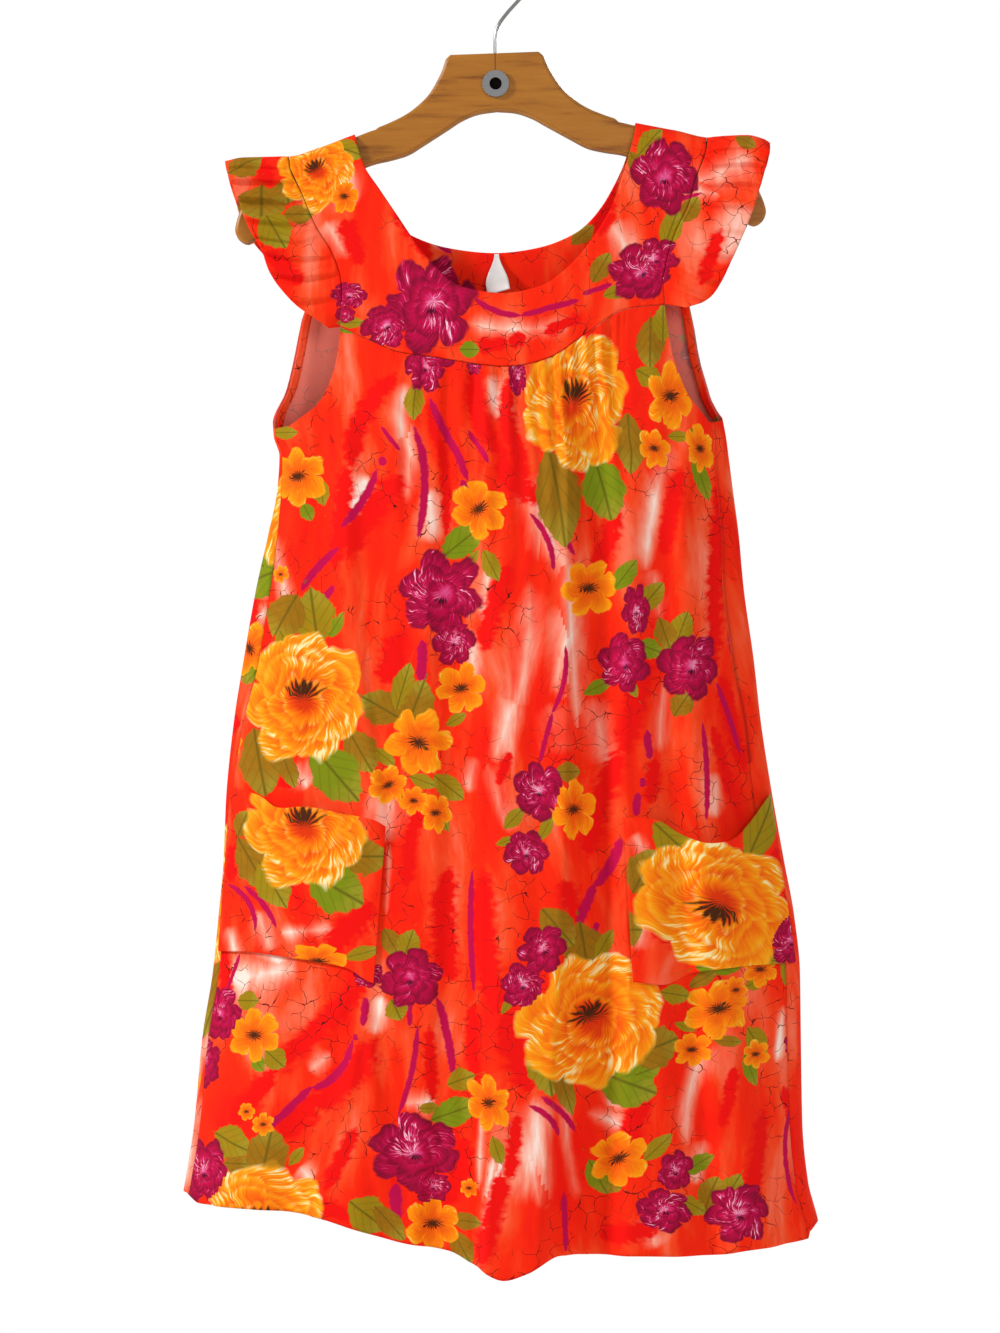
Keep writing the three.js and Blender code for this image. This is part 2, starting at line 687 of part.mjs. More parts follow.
function boardOutline() {
  const [topCorner, ...edge] = BOARD_HALF.map(({ x, z }) => new THREE.Vector2(x, z));
  const curve = new THREE.SplineCurve(edge);
  const steps = Math.round(curve.getLength() / OUTLINE_STEP);
  const right = [topCorner, ...curve.getSpacedPoints(steps)];
  const left = right.slice(0, -1).reverse().map(({ x, y }) => new THREE.Vector2(-x, y));
  const outline = [...right, ...left];
  for (const point of outline) {
    point.rotateAround(new THREE.Vector2(), HANGER_TILT).add(RING_CENTRE);
    const roof = along(SHOULDER_LINE, 'x', 'z', point.x) - WALL - SEAT_GAP;
    if (Math.abs(point.x) > SEAT_START) point.y = Math.min(point.y, roof);
  }
  return outline;
}

// Runs an XY drawing upright: its y becomes height and its depth runs along Y
function upright(geometry) {
  return geometry.rotateX(Math.PI / 2);
}

const wasm = await Module();
wasm.setup();

function solidOf(geometry) {
  const bare = geometry.index ? geometry.toNonIndexed() : geometry.clone();
  bare.deleteAttribute('normal');
  bare.deleteAttribute('uv');
  const merged = mergeVertices(bare, 1e-4);
  return new wasm.Manifold(new wasm.Mesh({
    numProp: 3,
    vertProperties: new Float32Array(merged.attributes.position.array),
    triVerts: new Uint32Array(merged.index.array),
  }));
}

function geometryOf(solid) {
  const mesh = solid.getMesh();
  const geometry = new THREE.BufferGeometry();
  geometry.setAttribute('position', new THREE.BufferAttribute(new Float32Array(mesh.vertProperties), 3));
  geometry.setIndex(new THREE.BufferAttribute(new Uint32Array(mesh.triVerts), 1));
  return geometry;
}

// Hanger board with rounded edges and a bore for the wire stem
function boardGeometry() {
  const shape = new THREE.Shape(boardOutline());
  const board = upright(new THREE.ExtrudeGeometry(shape, {
    depth: BOARD_THICKNESS - 2 * BOARD_ROUNDING,
    bevelThickness: BOARD_ROUNDING,
    bevelSize: BOARD_ROUNDING,
    bevelOffset: -BOARD_ROUNDING,
    bevelSegments: 2,
  }));
  board.translate(0, BOARD_THICKNESS / 2 - BOARD_ROUNDING, 0);
  const boreRadius = WIRE_RADIUS + STEM_CLEARANCE;
  const bore = new THREE.CylinderGeometry(boreRadius, boreRadius, 2 * STEM_DEPTH, 16);
  bore.rotateX(Math.PI / 2);
  bore.translate(STEM_X, 0, BOARD_TOP_LEVEL);
  return geometryOf(solidOf(board).subtract(solidOf(bore)));
}

// Fluted metal ring round the rivet
function ringGeometry() {
  const shape = new THREE.Shape();
  for (let i = 0; i < 2 * RING_FLUTES; i += 1) {
    const angle = (Math.PI * i) / RING_FLUTES;
    const radius = RING_RADIUS - (i % 2) * FLUTE_DEPTH;
    const place = [radius * Math.cos(angle), radius * Math.sin(angle)];
    if (i === 0) shape.moveTo(...place);
    else shape.lineTo(...place);
  }
  shape.closePath();
  const hole = new THREE.Path();
  hole.absarc(0, 0, RING_HOLE, 0, 2 * Math.PI, true);
  shape.holes.push(hole);
  const finish = { depth: RING_DEPTH, bevelEnabled: false, curveSegments: 14 };
  const ring = upright(new THREE.ExtrudeGeometry(shape, finish));
  return ring.translate(RING_CENTRE.x, -BOARD_THICKNESS / 2 - RING_STANDOFF, RING_CENTRE.y);
}

// Dark rivet head inside the ring
function rivetGeometry() {
  const rim = RING_HOLE - 0.3;
  const profile = [[0, 0], [rim, 0], [rim, 1], [rim - 1.1, 1.6], [0, 1.8]];
  const rivet = new THREE.LatheGeometry(profile.map((p) => new THREE.Vector2(...p)), 24);
  rivet.rotateX(Math.PI);
  return rivet.translate(RING_CENTRE.x, -BOARD_THICKNESS / 2 - RING_STANDOFF, RING_CENTRE.y);
}

// Wire hook: a stem out of the board, a bend to the right and most of a turn
function hookGeometry() {
  const centre = new THREE.Vector2(0.84, -HOOK_RADIUS + WIRE_RADIUS);
  const start = THREE.MathUtils.degToRad(-48);
  const end = THREE.MathUtils.degToRad(204);
  const points = [
    [STEM_X, BOARD_TOP_LEVEL - STEM_DEPTH + 0.5],
    [STEM_X, BOARD_TOP_LEVEL - 3],
    [STEM_X - 0.4, BOARD_TOP_LEVEL + 7],
    [STEM_X, -70],
    [1.6, -61.5],
    [8.6, -52],
  ];
  const arcSteps = 18;
  for (let i = 0; i <= arcSteps; i += 1) {
    const angle = THREE.MathUtils.lerp(start, end, i / arcSteps);
    const turn = new THREE.Vector2(HOOK_RADIUS, 0).rotateAround(new THREE.Vector2(), angle);
    points.push([centre.x + turn.x, centre.y + turn.y]);
  }
  const places = points.map(([x, z]) => new THREE.Vector3(x, 0, z));
  const path = new THREE.CatmullRomCurve3(places, false, 'centripetal');
  const wire = new THREE.Shape();
  wire.absarc(0, 0, WIRE_RADIUS, 0, 2 * Math.PI, false);
  const settings = { steps: 52, curveSegments: 5, extrudePath: path, bevelEnabled: false };
  return new THREE.ExtrudeGeometry(wire, settings);
}

const CLOTH = { color: 0xff4a24, roughness: 0.85, metalness: 0 };
const WOOD = { color: 0xb8752a, roughness: 0.45, metalness: 0 };
const WIRE = { color: 0xa5a5a5, roughness: 0.3, metalness: 1 };
const LABEL_CLOTH = { color: 0xf2efe8, roughness: 0.8, metalness: 0 };
const BLACK = { color: 0x14110f, roughness: 0.5, metalness: 0 };

function piece(name, geometry, finish) {
  const mesh = new THREE.Mesh(geometry, new THREE.MeshStandardMaterial(finish));
  mesh.name = name;
  return mesh;
}

const yokeOf = (rows, corners) => ({ rows, corners, drops: yokeDrops(rows) });
const FRONT_YOKE = yokeOf(FRONT_YOKE_ROWS, FRONT_CORNER_ROWS);
const BACK_YOKE = yokeOf(BACK_YOKE_ROWS, BACK_CORNER_ROWS);

const withAngles = (rows) => rows.map((row) => ({ ...row, angle: angleOf(row.x, row.z, row.face) }));
const armholePair = ({ left, right }) => ({ left: withAngles(left), right: withAngles(right) });
const FRONT_ARMHOLES = armholePair(FRONT_ARMHOLE_ROWS);
const BACK_ARMHOLES = armholePair(BACK_ARMHOLE_ROWS);

const FRONT_PANEL = {
  face: 1,
  yoke: FRONT_YOKE,
  armholes: FRONT_ARMHOLES,
  gathers: FRONT_GATHERS,
  plain: { left: 1.1, right: 0.9, columns: 4 },
  armholeColumns: 8,
};
const BACK_PANEL = {
  face: -1,
  yoke: BACK_YOKE,
  armholes: BACK_ARMHOLES,
  gathers: BACK_GATHERS,
  plain: { left: 0.9, right: 0.9, columns: 4 },
  armholeColumns: 8,
};

const leftBand = bandGeometry(FRONT_ARMHOLES.left, BACK_ARMHOLES.left, -1);
const rightBand = bandGeometry(FRONT_ARMHOLES.right, BACK_ARMHOLES.right, 1);

const group = new THREE.Group();
group.add(piece('front_body', panelGeometry(FRONT_PANEL), CLOTH));
group.add(piece('back_body', panelGeometry(BACK_PANEL), CLOTH));
group.add(piece('front_yoke', yokeGeometry(FRONT_YOKE, YOKE_GRID.frontColumns), CLOTH));
group.add(piece('back_yoke', yokeGeometry(BACK_YOKE, YOKE_GRID.backColumns), CLOTH));
group.add(piece('flutter_sleeve_left', sleeveGeometry(SLEEVES.left), CLOTH));
group.add(piece('flutter_sleeve_right', sleeveGeometry(SLEEVES.right), CLOTH));
group.add(piece('armhole_band_left', leftBand, CLOTH));
group.add(piece('armhole_band_right', rightBand, CLOTH));
group.add(piece('pocket_left', pocketGeometry(POCKETS.left, POCKET_BULGE.left), CLOTH));
group.add(piece('pocket_right', pocketGeometry(POCKETS.right, POCKET_BULGE.right), CLOTH));
group.add(piece('care_label', labelGeometry(), LABEL_CLOTH));
group.add(piece('hanger_board', boardGeometry(), WOOD));
group.add(piece('hanger_ring', ringGeometry(), WIRE));
group.add(piece('hanger_rivet', rivetGeometry(), BLACK));
group.add(piece('hook_wire', hookGeometry(), WIRE));

export default group;
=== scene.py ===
import math
import bpy
import numpy as np
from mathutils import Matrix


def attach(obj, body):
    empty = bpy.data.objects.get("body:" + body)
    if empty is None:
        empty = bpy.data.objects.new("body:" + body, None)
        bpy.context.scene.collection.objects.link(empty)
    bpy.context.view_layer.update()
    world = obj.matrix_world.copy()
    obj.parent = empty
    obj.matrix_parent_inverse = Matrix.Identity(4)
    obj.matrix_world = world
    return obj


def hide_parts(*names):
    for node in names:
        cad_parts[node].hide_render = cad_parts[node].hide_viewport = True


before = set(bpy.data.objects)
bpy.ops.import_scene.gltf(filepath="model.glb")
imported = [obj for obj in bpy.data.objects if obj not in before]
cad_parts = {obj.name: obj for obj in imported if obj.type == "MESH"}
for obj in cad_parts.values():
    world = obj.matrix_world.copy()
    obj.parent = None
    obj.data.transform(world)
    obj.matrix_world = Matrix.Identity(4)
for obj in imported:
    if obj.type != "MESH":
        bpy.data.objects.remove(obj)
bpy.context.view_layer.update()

# All tables below are in millimetres, with x to the viewer's right and z up from the hook's seat
MM = 0.001

# Cloth and seams: thicknesses, gaps, heights and lengths, and how often slow waves beat along an edge
SHELL = 0.8
BAND_SHELL = 0.6
SEAM_GAP = 0.4
YOKE_SEAM_GAP = 0.6
SLEEVE_SEAM_GAP = 0.56
SHOULDER_ROLL = 10
GATHER_HEIGHT = 2.6
GATHER_LENGTH = 105
GATHER_START = 15
PUCKER_HEIGHT = 0.7
PUCKER_LENGTH = 28
UNEVENNESS = 0.25
PANEL_BEATS = 3.7
SLEEVE_BEATS = 3
SIDE_CALM = 2.5
ARMHOLE_CROWDING = 1.5
RUFFLE_HEIGHT = 3.6
RUFFLE_FLARE = 8
RUFFLES = 16
RUFFLE_LEAN = 0.85
SLEEVE_BEND = 30
FINE_RUFFLES = 2.35
FINE_RUFFLE_HEIGHT = 0.7
YOKE_CRUMPLE = 0.5
POCKET_CRUMPLE = 0.6
HEM_LEVEL = -1075
BACK_SPREAD = 0.075

# Hanger: its slope, the board, the centre of its ring and the wire
TILT = math.radians(2.1)
BOARD_THICKNESS = 12
BOARD_ROUNDING = 2.5
BOARD_STEP = 3.0
BOARD_RINGS = 13
RING_CENTRE = (-1.2, -112.4)
WIRE_RADIUS = 1.5
WIRE_STEP = 1.5
WIRE_SIDES = 16
HOOK_RADIUS = 25
HOOK_CENTRE_X = 0.84
HOOK_FROM, HOOK_TO = -48, 204
HOOK_POINTS = 19


def table(columns, rows):
    """Numbers under named columns, as one array per column

    Rows may stand in groups under their first number, and a row may leave out the zeros at its end.
    """
    names = columns.split()
    if isinstance(rows, dict):
        rows = [(first, *row) for first, group in rows.items() for row in group]
    full = [(*row, *[0] * (len(names) - len(row))) for row in rows]
    return dict(zip(names, np.array(full, dtype=float).T))


# Sections of the hanging dress: sides, depth to the front and back, and the side seams' inset
SECTIONS = table("z left right front back seam_left seam_right", [
    (-120, -420, 420, 10, 10, 2, 9), (-200, -300, 300, 12, 11, 2, 9), (-260, -215, 215, 15, 13, 2, 9),
    (-281, -190, 190, 16.5, 14.5, 2, 9), (-300, -178, 179, 18, 16, 2, 9),
    (-315, -177, 178, 19, 17, 2, 9), (-340, -179, 179, 22, 19, 2, 9), (-365, -183, 184, 26, 22, 2, 9),
    (-392, -188.5, 189.5, 30, 26, 2, 9), (-408, -187.5, 192.5, 32, 27, 2, 10),
    (-424, -182.8, 194.5, 34, 28, 3, 12), (-450, -184.3, 197.8, 36, 30, 4, 13),
    (-492, -192.6, 203.3, 40, 32, 9, 15), (-537, -202.6, 207.5, 43, 35, 13, 18),
    (-594, -212.6, 215.5, 46, 38, 14, 19), (-650, -221.4, 222, 50, 42, 9, 15),
    (-712, -227.6, 231.8, 54, 45, 6, 17), (-766, -229.8, 241.5, 58, 48, 6, 15),
    (-809, -233.8, 249.5, 60, 50, 6, 14), (-858, -238.8, 254.5, 63, 52, 6, 13),
    (-910, -247.2, 255.2, 66, 55, 6, 13), (-985, -254.5, 256.5, 71, 59, 6, 12),
    (-1033, -262, 261.2, 74, 61, 6, 12), (-1068, -268, 270, 76, 63, 6, 12),
    (-1110, -272, 275, 78, 65, 6, 12),
])

# Top line of the cloth over the shoulders
SHOULDER_LINE = table("x z", [
    (-235, -177.5), (-228, -176.4), (-214, -173.5), (-174, -172.5), (-148, -164.6),
    (-122, -155), (-95, -146.5), (95, -140.5), (117, -144.5), (149, -150.4),
    (178, -156.6), (192, -155.4), (210, -154.6), (224, -157.9), (235, -164),
])

# Yokes from the left shoulder seam to the right one: neckline, outer edge, and the face they lie on
FRONT_YOKE = table("in_x in_z out_x out_z face", [
    (-116.8, -165.5, -173, -184, 1), (-110, -184, -164, -203, 1), (-98.5, -201, -152, -231, 1),
    (-85, -221, -138, -254, 1), (-73, -239, -130, -280, 1), (-62, -254.5, -131, -316.7, 1),
    (-48, -270, -92.4, -334.3, 1), (-30, -283, -48.7, -343, 1), (4.2, -288.7, 5, -350.3, 1),
    (35.3, -283.1, 43, -343, 1), (52, -273, 73, -323.5, 1), (66, -260, 107, -302, 1),
    (76, -248, 140.3, -297.4, 1), (86, -233, 139.5, -272, 1), (97.4, -212.5, 148, -240, 1),
    (105, -190, 159.6, -215, 1), (110.5, -172, 167, -190, 1), (115.1, -155.4, 174.7, -169, 1),
])
FRONT_YOKE["corners"] = (5, 12)
BACK_YOKE = table("in_x in_z out_x out_z face", [
    (-116.8, -165.5, -173, -184, 1), (-118.6, -157.2, -173.8, -177, 1),
    (-119.5, -152.8, -174.2, -173, -1), (-117.5, -163, -172.5, -184, -1), (-111, -186, -168, -205, -1),
    (-101, -208, -162.5, -236, -1), (-88, -226, -158.8, -280.6, -1), (-74, -236.9, -112, -301, -1),
    (-45, -247.5, -62, -313, -1), (-3, -252.5, -2, -317, -1), (35, -248, 58, -311, -1),
    (62, -238, 108, -294, -1), (78, -226, 157, -262, -1), (93, -206, 162, -232, -1),
    (106, -180, 168, -200, -1), (114, -154, 174, -172, -1), (116.2, -144.5, 175.8, -156.2, -1),
    (116, -148, 175.4, -160, 1), (115.1, -155.4, 174.7, -169, 1),
])
BACK_YOKE["corners"] = (6, 12)

# Armholes, from the underarm up to the yoke corner
FRONT_ARMHOLES = {
    "left": table("x z face", [
        (-187, -401.5, 1), (-176, -399.8, 1), (-166, -394, 1), (-150.4, -382.2, 1),
        (-139, -361.2, 1), (-133.6, -340.2, 1), (-131, -317.6, 1),
    ]),
    "right": table("x z face", [
        (178, -397, 1), (168.8, -385, 1), (159.6, -373, 1), (153.7, -359.5, 1),
        (145.7, -334.3, 1), (142.4, -314, 1), (140.3, -298.3, 1),
    ]),
}
BACK_ARMHOLES = {
    "left": table("x z face", [
        (-187, -401.5, 1), (-187.6, -391, -1), (-181.5, -378, -1), (-176.4, -365.4, -1),
        (-170.5, -340.2, -1), (-164.5, -310, -1), (-158.8, -281.6, -1),
    ]),
    "right": table("x z face", [
        (178, -397, 1), (188.6, -391, -1), (181.5, -378.8, -1), (177, -365.4, -1),
        (169.5, -338, -1), (162.8, -300.7, -1), (157, -263, -1),
    ]),
}

# Lower edge of the front and the back
HEM = table("x front back", [
    (-268, -1041, -1041), (-252, -1048.6, -1046), (-224, -1049.4, -1050),
    (-182, -1050.8, -1055), (-150, -1055, -1060), (-120, -1063.4, -1064),
    (-78, -1075.2, -1068), (-40, -1082, -1072), (-16, -1093.7, -1074),
    (5, -1102.9, -1075), (25, -1097, -1076), (40, -1089, -1077), (54, -1085.3, -1077),
    (101, -1085.3, -1078), (174, -1087, -1078), (205, -1083.6, -1077),
    (236, -1081, -1076), (261, -1078, -1073), (272, -1066, -1066),
])

# Long folds: ridges with a positive rise, troughs with a negative one
FOLD_COLUMNS = "face top end x_top x_mid x_end half_top half_end flank_left flank_right rise_top rise_end"
FOLDS = table(FOLD_COLUMNS, {
    1: [
        (-345, -1300, 22, 31, 16, 45, 34, 9, 17, 3, 20),
        (-385, -765, -131, -122, -93, 17, 13, 17, 10, 3.5, 4.5),
        (-345, -540, -85, -86, -77, 12, 11, 12, 9, 3, 2),
        (-350, -640, -62, -63, -60, 11, 16, 9, 11, 2.5, 2),
        (-360, -1300, -42, -32, -46, 17, 24, 17, 15, -2, -7),
        (-330, -1300, 84, 88, 78, 14, 24, 12, 20, -2.5, -8),
        (-380, -1300, 112, 120, 132, 18, 42, 18, 30, 2, 9),
        (-430, -1300, 158, 176, 210, 20, 34, 18, 24, 2.5, 9),
        (-400, -700, -163, -172, -184, 18, 22, 18, 18, 3, 3),
        (-860, -1300, -104, -112, -130, 20, 40, 18, 30, 2, 9),
        (-865, -1300, -184, -194, -212, 24, 38, 20, 26, 2, 8),
        (-868, -1070, -103, -96, -84, 9, 14, 7, 10, 3, 3),
    ],
    -1: [
        (-320, -1300, -22, -16, -8, 22, 40, 16, 22, 3, 15),
        (-330, -1300, 44, 60, 76, 20, 34, 18, 20, 3, 12),
        (-345, -1300, -84, -96, -104, 18, 36, 16, 24, 2.5, 12),
        (-380, -1300, 112, 128, 148, 18, 34, 15, 22, 2.5, 11),
        (-400, -1300, -140, -158, -178, 20, 36, 18, 22, 2.5, 10),
        (-420, -1300, 164, 184, 212, 16, 28, 14, 18, 2.5, 8),
        (-430, -1300, -178, -200, -228, 12, 20, 11, 14, 2, 6),
    ],
})
FOLD_FADE = 60

# Smaller creases, which only the cloth shows: soft ridges and troughs between two points
CREASE_HEIGHT = 2.1
CREASE_OVERRUN = 0.15
CREASE_FADE_IN = 0.35
CREASE_FADE_OUT = 0.45
CREASES = table("face x1 z1 x2 z2 half rise", {
    1: [
        (-18, -345, -16, -1080, 2.4, -1), (-12, -345, -9, -1080, 4, 0.8),
        (65, -340, 67, -1080, 2.4, -1.1), (58, -380, 60, -900, 5, 0.9),
        (-128, -392, -112, -470, 6, 0.9), (-150, -400, -132, -520, 8, -1),
        (-128, -455, -132, -610, 7, 0.8), (-98, -362, -94, -470, 4.5, 0.8),
        (-47, -352, -50, -450, 4, 0.9), (-20, -356, -24, -520, 6, -0.9), (8, -360, 6, -500, 5, 0.7),
        (64, -335, 62, -520, 5, 0.8), (100, -315, 110, -470, 6, -0.9), (128, -312, 136, -440, 6, 0.8),
        (160, -405, 150, -520, 7, 0.9), (175, -425, 172, -600, 8, -0.9),
        (-150, -560, -172, -690, 9, 0.9), (-60, -560, -52, -760, 8, 0.8), (30, -640, 36, -900, 9, -0.9),
        (96, -600, 104, -800, 8, 0.8), (150, -560, 166, -700, 8, 0.8), (-94, -868, -62, -930, 5, 1.1),
        (-100, -870, -92, -985, 5, -1), (-108, -872, -128, -990, 6, 1),
        (-120, -866, -166, -955, 6, 0.8), (-40, -905, -30, -1060, 8, 1), (62, -900, 58, -1075, 8, 0.9),
        (100, -870, 96, -1060, 8, -0.9), (190, -880, 206, -1070, 9, 1),
        (-215, -880, -226, -1030, 8, 0.9),
    ],
    -1: [
        (-50, -330, -52, -470, 6, 0.9), (18, -335, 20, -520, 6, -0.9), (86, -320, 96, -480, 6, 0.8),
        (-110, -330, -120, -470, 6, 0.8), (36, -560, 44, -800, 9, 0.9), (-60, -560, -70, -820, 9, -0.9),
        (100, -620, 116, -900, 9, 0.8), (-130, -600, -146, -850, 9, 0.9), (0, -850, 6, -1060, 10, 0.9),
        (170, -800, 186, -1050, 9, 0.8), (-190, -760, -206, -1030, 9, 0.8),
    ],
})

# Flutter sleeves: the yoke rows each is sewn to, front corner to back corner, and its free edge
SLEEVES = {
    "left": table("face row edge_x edge_z", [
        (1, 5, -140.3, -318.4), (1, 4, -184, -281), (1, 3, -197.4, -252), (1, 2, -209, -231),
        (1, 1, -219, -204), (1, 0, -227, -184), (-1, 2, -228, -176.4), (-1, 3, -227, -186),
        (-1, 4, -221, -207), (-1, 5, -208, -240), (-1, 6, -167, -284),
    ]),
    "right": table("face row edge_x edge_z", [
        (1, 12, 158, -301), (1, 13, 182, -288), (1, 14, 199, -255), (1, 15, 213, -222),
        (1, 16, 222, -193), (1, 17, 228, -172), (-1, 16, 229, -160), (-1, 15, 227, -174),
        (-1, 14, 220, -202), (-1, 13, 205, -236), (-1, 12, 166, -266),
    ]),
}

# Patch pockets, from one side to the other: mouth and lower edge
POCKETS = {
    "left": table("top_x top_z low_x low_z", [
        (-221, -702, -231, -839), (-196, -708, -205, -838.5), (-179, -718, -178, -841.5),
        (-155, -717, -152, -845), (-127, -722.5, -125, -850), (-102, -727.4, -108, -860),
        (-91.6, -733.3, -101.6, -862.7),
    ]),
    "right": table("top_x top_z low_x low_z", [
        (103.3, -725.8, 110.9, -861), (129.4, -727.4, 138, -863.5), (150.4, -740, 160, -855),
        (169.7, -746.8, 182, -851.5), (190.7, -743.4, 205, -849.5), (205, -730.8, 222, -849),
        (220, -712, 238, -848.5), (227, -707.3, 248, -848.4),
    ]),
}
POCKET_STANDOFF = 1.0
POCKET_WALL = 2.0
POCKET_BULGE = {"left": 8, "right": 13}
POCKET_BULGE_CURVE = 1.5

# Half outline of the hanger board from its top to its lower arch, from the centre of the ring
BOARD_HALF = [
    (37, 26), (41, 22.5), (45.5, 11), (53, -2), (60.5, -11), (75.6, -22.3), (96.6, -31.5),
    (117.6, -37.6), (149.5, -45), (178, -56.5), (200, -73), (215, -92.4), (222, -109),
    (222.4, -118), (217, -125), (206.6, -124.3), (170, -98), (138.6, -78), (109.2, -64.7),
    (89, -60.2), (75, -56.3), (61.3, -48.6), (40.3, -36.1), (29.4, -29.6), (16, -24.6),
    (0, -22.7),
]
SEAT_GAP = 0.9
SEAT_START = 100

# Motifs of the print, grouped by sheet: 0 the body, 1 the yokes and sleeves, 2 and 3 the pockets
ROSES = table("sheet x z wide tall turn", {
    0: [
        (-161, -627, 47, 50), (78, -893, 53, 50, 20), (64, -379, 39, 55, -10), (-195, -1062, 54, 45, 5),
    ],
    1: [(-151, -191, 29, 30, 30)],
    2: [(-158, -732, 47, 50)],
    3: [(181, -798, 65, 50, 160)],
})
BLOOMS = table("sheet x z wide tall turn", {
    0: [
        (-166, -442, 25, 26, 10), (-15, -470, 23, 27, 40), (76, -536, 25, 26), (145, -375, 21, 30),
        (-30, -619, 22, 22, 15), (-65, -664, 28, 29, -20), (-90, -699, 18, 17, 30),
        (63, -719, 20, 26, 5), (-201, -907, 24, 23), (-7, -959, 18, 24, 20), (-53, -1060, 24, 24),
        (100, -1006, 25, 23, 40), (182, -884, 29, 25, 10), (161, -918, 17, 15), (131, -419, 14, 18),
        (219, -853, 18, 15), (196, -869, 13, 12), (-23, -1030, 8, 8), (-180, -524, 8, 8),
        (-206, -970, 8, 8), (-192, -980, 10, 10), (-223, -583, 8, 8), (170, -419, 13, 22),
        (-51, -722, 14, 17), (-69, -712, 13, 13), (214, -923, 15, 13), (-219, -664, 8, 12),
        (206, -499, 12, 18), (200, -423, 10, 15),
    ],
    1: [(-128, -213, 13, 15)],
    2: [(-148, -845, 27, 16)],
})
MAGENTAS = table("sheet x z wide tall turn", {
    0: [
        (-60, -350, 16, 22), (-53, -337, 20, 17), (-46, -541, 33, 34), (-36, -580, 17, 19),
        (-67, -1000, 36, 29), (-53, -1029, 15, 14), (105, -598, 20, 23, 20), (160, -601, 25, 26),
        (115, -554, 11, 20), (34, -703, 20, 23), (24, -754, 17, 18), (37, -834, 20, 18, 40),
        (21, -862, 17, 18), (-71, -858, 24, 23), (-106, -856, 13, 10), (-231, -891, 21, 21),
        (-244, -932, 18, 20), (-244, -1021, 25, 26), (146, -1016, 15, 16), (137, -1048, 22, 17),
        (198, -1052, 25, 23), (17, -360, 7, 15), (-19, -350, 6, 8), (208, -596, 8, 17),
        (246, -915, 8, 10),
    ],
    1: [
        (-55, -303, 35, 39), (-93, -321, 20, 18, 30), (-124, -296, 14, 11), (-127, -312, 8, 7),
        (140, -196, 26, 30), (120, -276, 26, 23, 40), (133, -265, 18, 17, 10),
    ],
    3: [(244, -830, 22, 20)],
})
LEAVES_UNDER = table("sheet x z wide tall turn green", {
    0: [
        (-69, -380, 13, 7, -95, 1), (-158, -472, 7, 5, -60), (-178, -405, 10, 5, 0, 1),
        (111, -415, 21, 11, -95, 2), (89, -453, 23, 15, -75), (171, -443, 17, 6, -70),
        (128, -331, 18, 10, -90, 2), (127, -359, 10, 8, -30, 1), (-152, -560, 20, 16, 100, 1),
        (-134, -567, 11, 5, 55), (-174, -686, 14, 7, -70, 2), (-113, -671, 17, 12, -60, 2),
        (-96, -635, 15, 12, 150, 2), (-34, -645, 8, 4, 30, 1), (-40, -701, 13, 8, -40, 1),
        (-93, -676, 9, 5, -40, 1), (-5, -517, 12, 6, -60, 1), (128, -543, 13, 8, 50, 1),
        (153, -569, 12, 8, 70, 1), (84, -618, 11, 5, 25), (153, -632, 10, 8, 60, 2),
        (14, -726, 10, 5, 45, 1), (7, -745, 7, 3, 20, 1), (-87, -829, 11, 7, -60, 2),
        (-83, -884, 8, 8, -60, 1), (-183, -926, 9, 8, -40, 1), (-30, -942, 10, 8, 20, 1),
        (-219, -996, 16, 12, -20, 1), (-213, -1013, 11, 7, 0, 2), (-106, -1052, 15, 13, -40, 1),
        (-26, -1057, 11, 6, -5, 2), (0, -997, 10, 5, -70, 1), (9, -878, 8, 3, 60, 1),
        (73, -836, 20, 16, -80, 2), (41, -928, 21, 14, -80, 1), (107, -944, 21, 17, -20),
        (120, -935, 12, 8, 20), (218, -843, 15, 9, 0, 1), (147, -872, 11, 7, -10, 1),
        (215, -864, 9, 5, 15, 1), (208, -935, 13, 6, -65), (155, -899, 8, 3, -20, 1),
        (166, -1012, 12, 6, 30), (90, -1026, 11, 8, -20, 2), (191, -1033, 12, 8, 60, 1),
        (-56, -965, 7, 4, 0, 1), (210, -449, 12, 20, 0, 2), (208, -554, 6, 22, 0, 2),
        (-233, -591, 8, 10, 0, 1),
    ],
    1: [
        (-197, -219, 12, 18, -90, 2), (-186, -241, 15, 12, -60, 1), (-128, -173, 15, 8, -20, 1),
        (-131, -194, 8, 12, 0, 1), (117, -186, 10, 6, -60, 2), (162, -224, 10, 7, 60, 2),
        (100, -293, 10, 5, 20, 1), (-122, -319, 10, 4, 0, 1), (208, -167, 8, 5, -30, 2),
    ],
    2: [
        (-202, -765, 20, 13, -60, 2), (-133, -784, 22, 18, -30), (-111, -838, 13, 5, 15, 1),
    ],
    3: [
        (217, -732, 29, 15, 60, 1), (189, -843, 23, 13, 15), (133, -768, 12, 8, 20, 2),
    ],
})
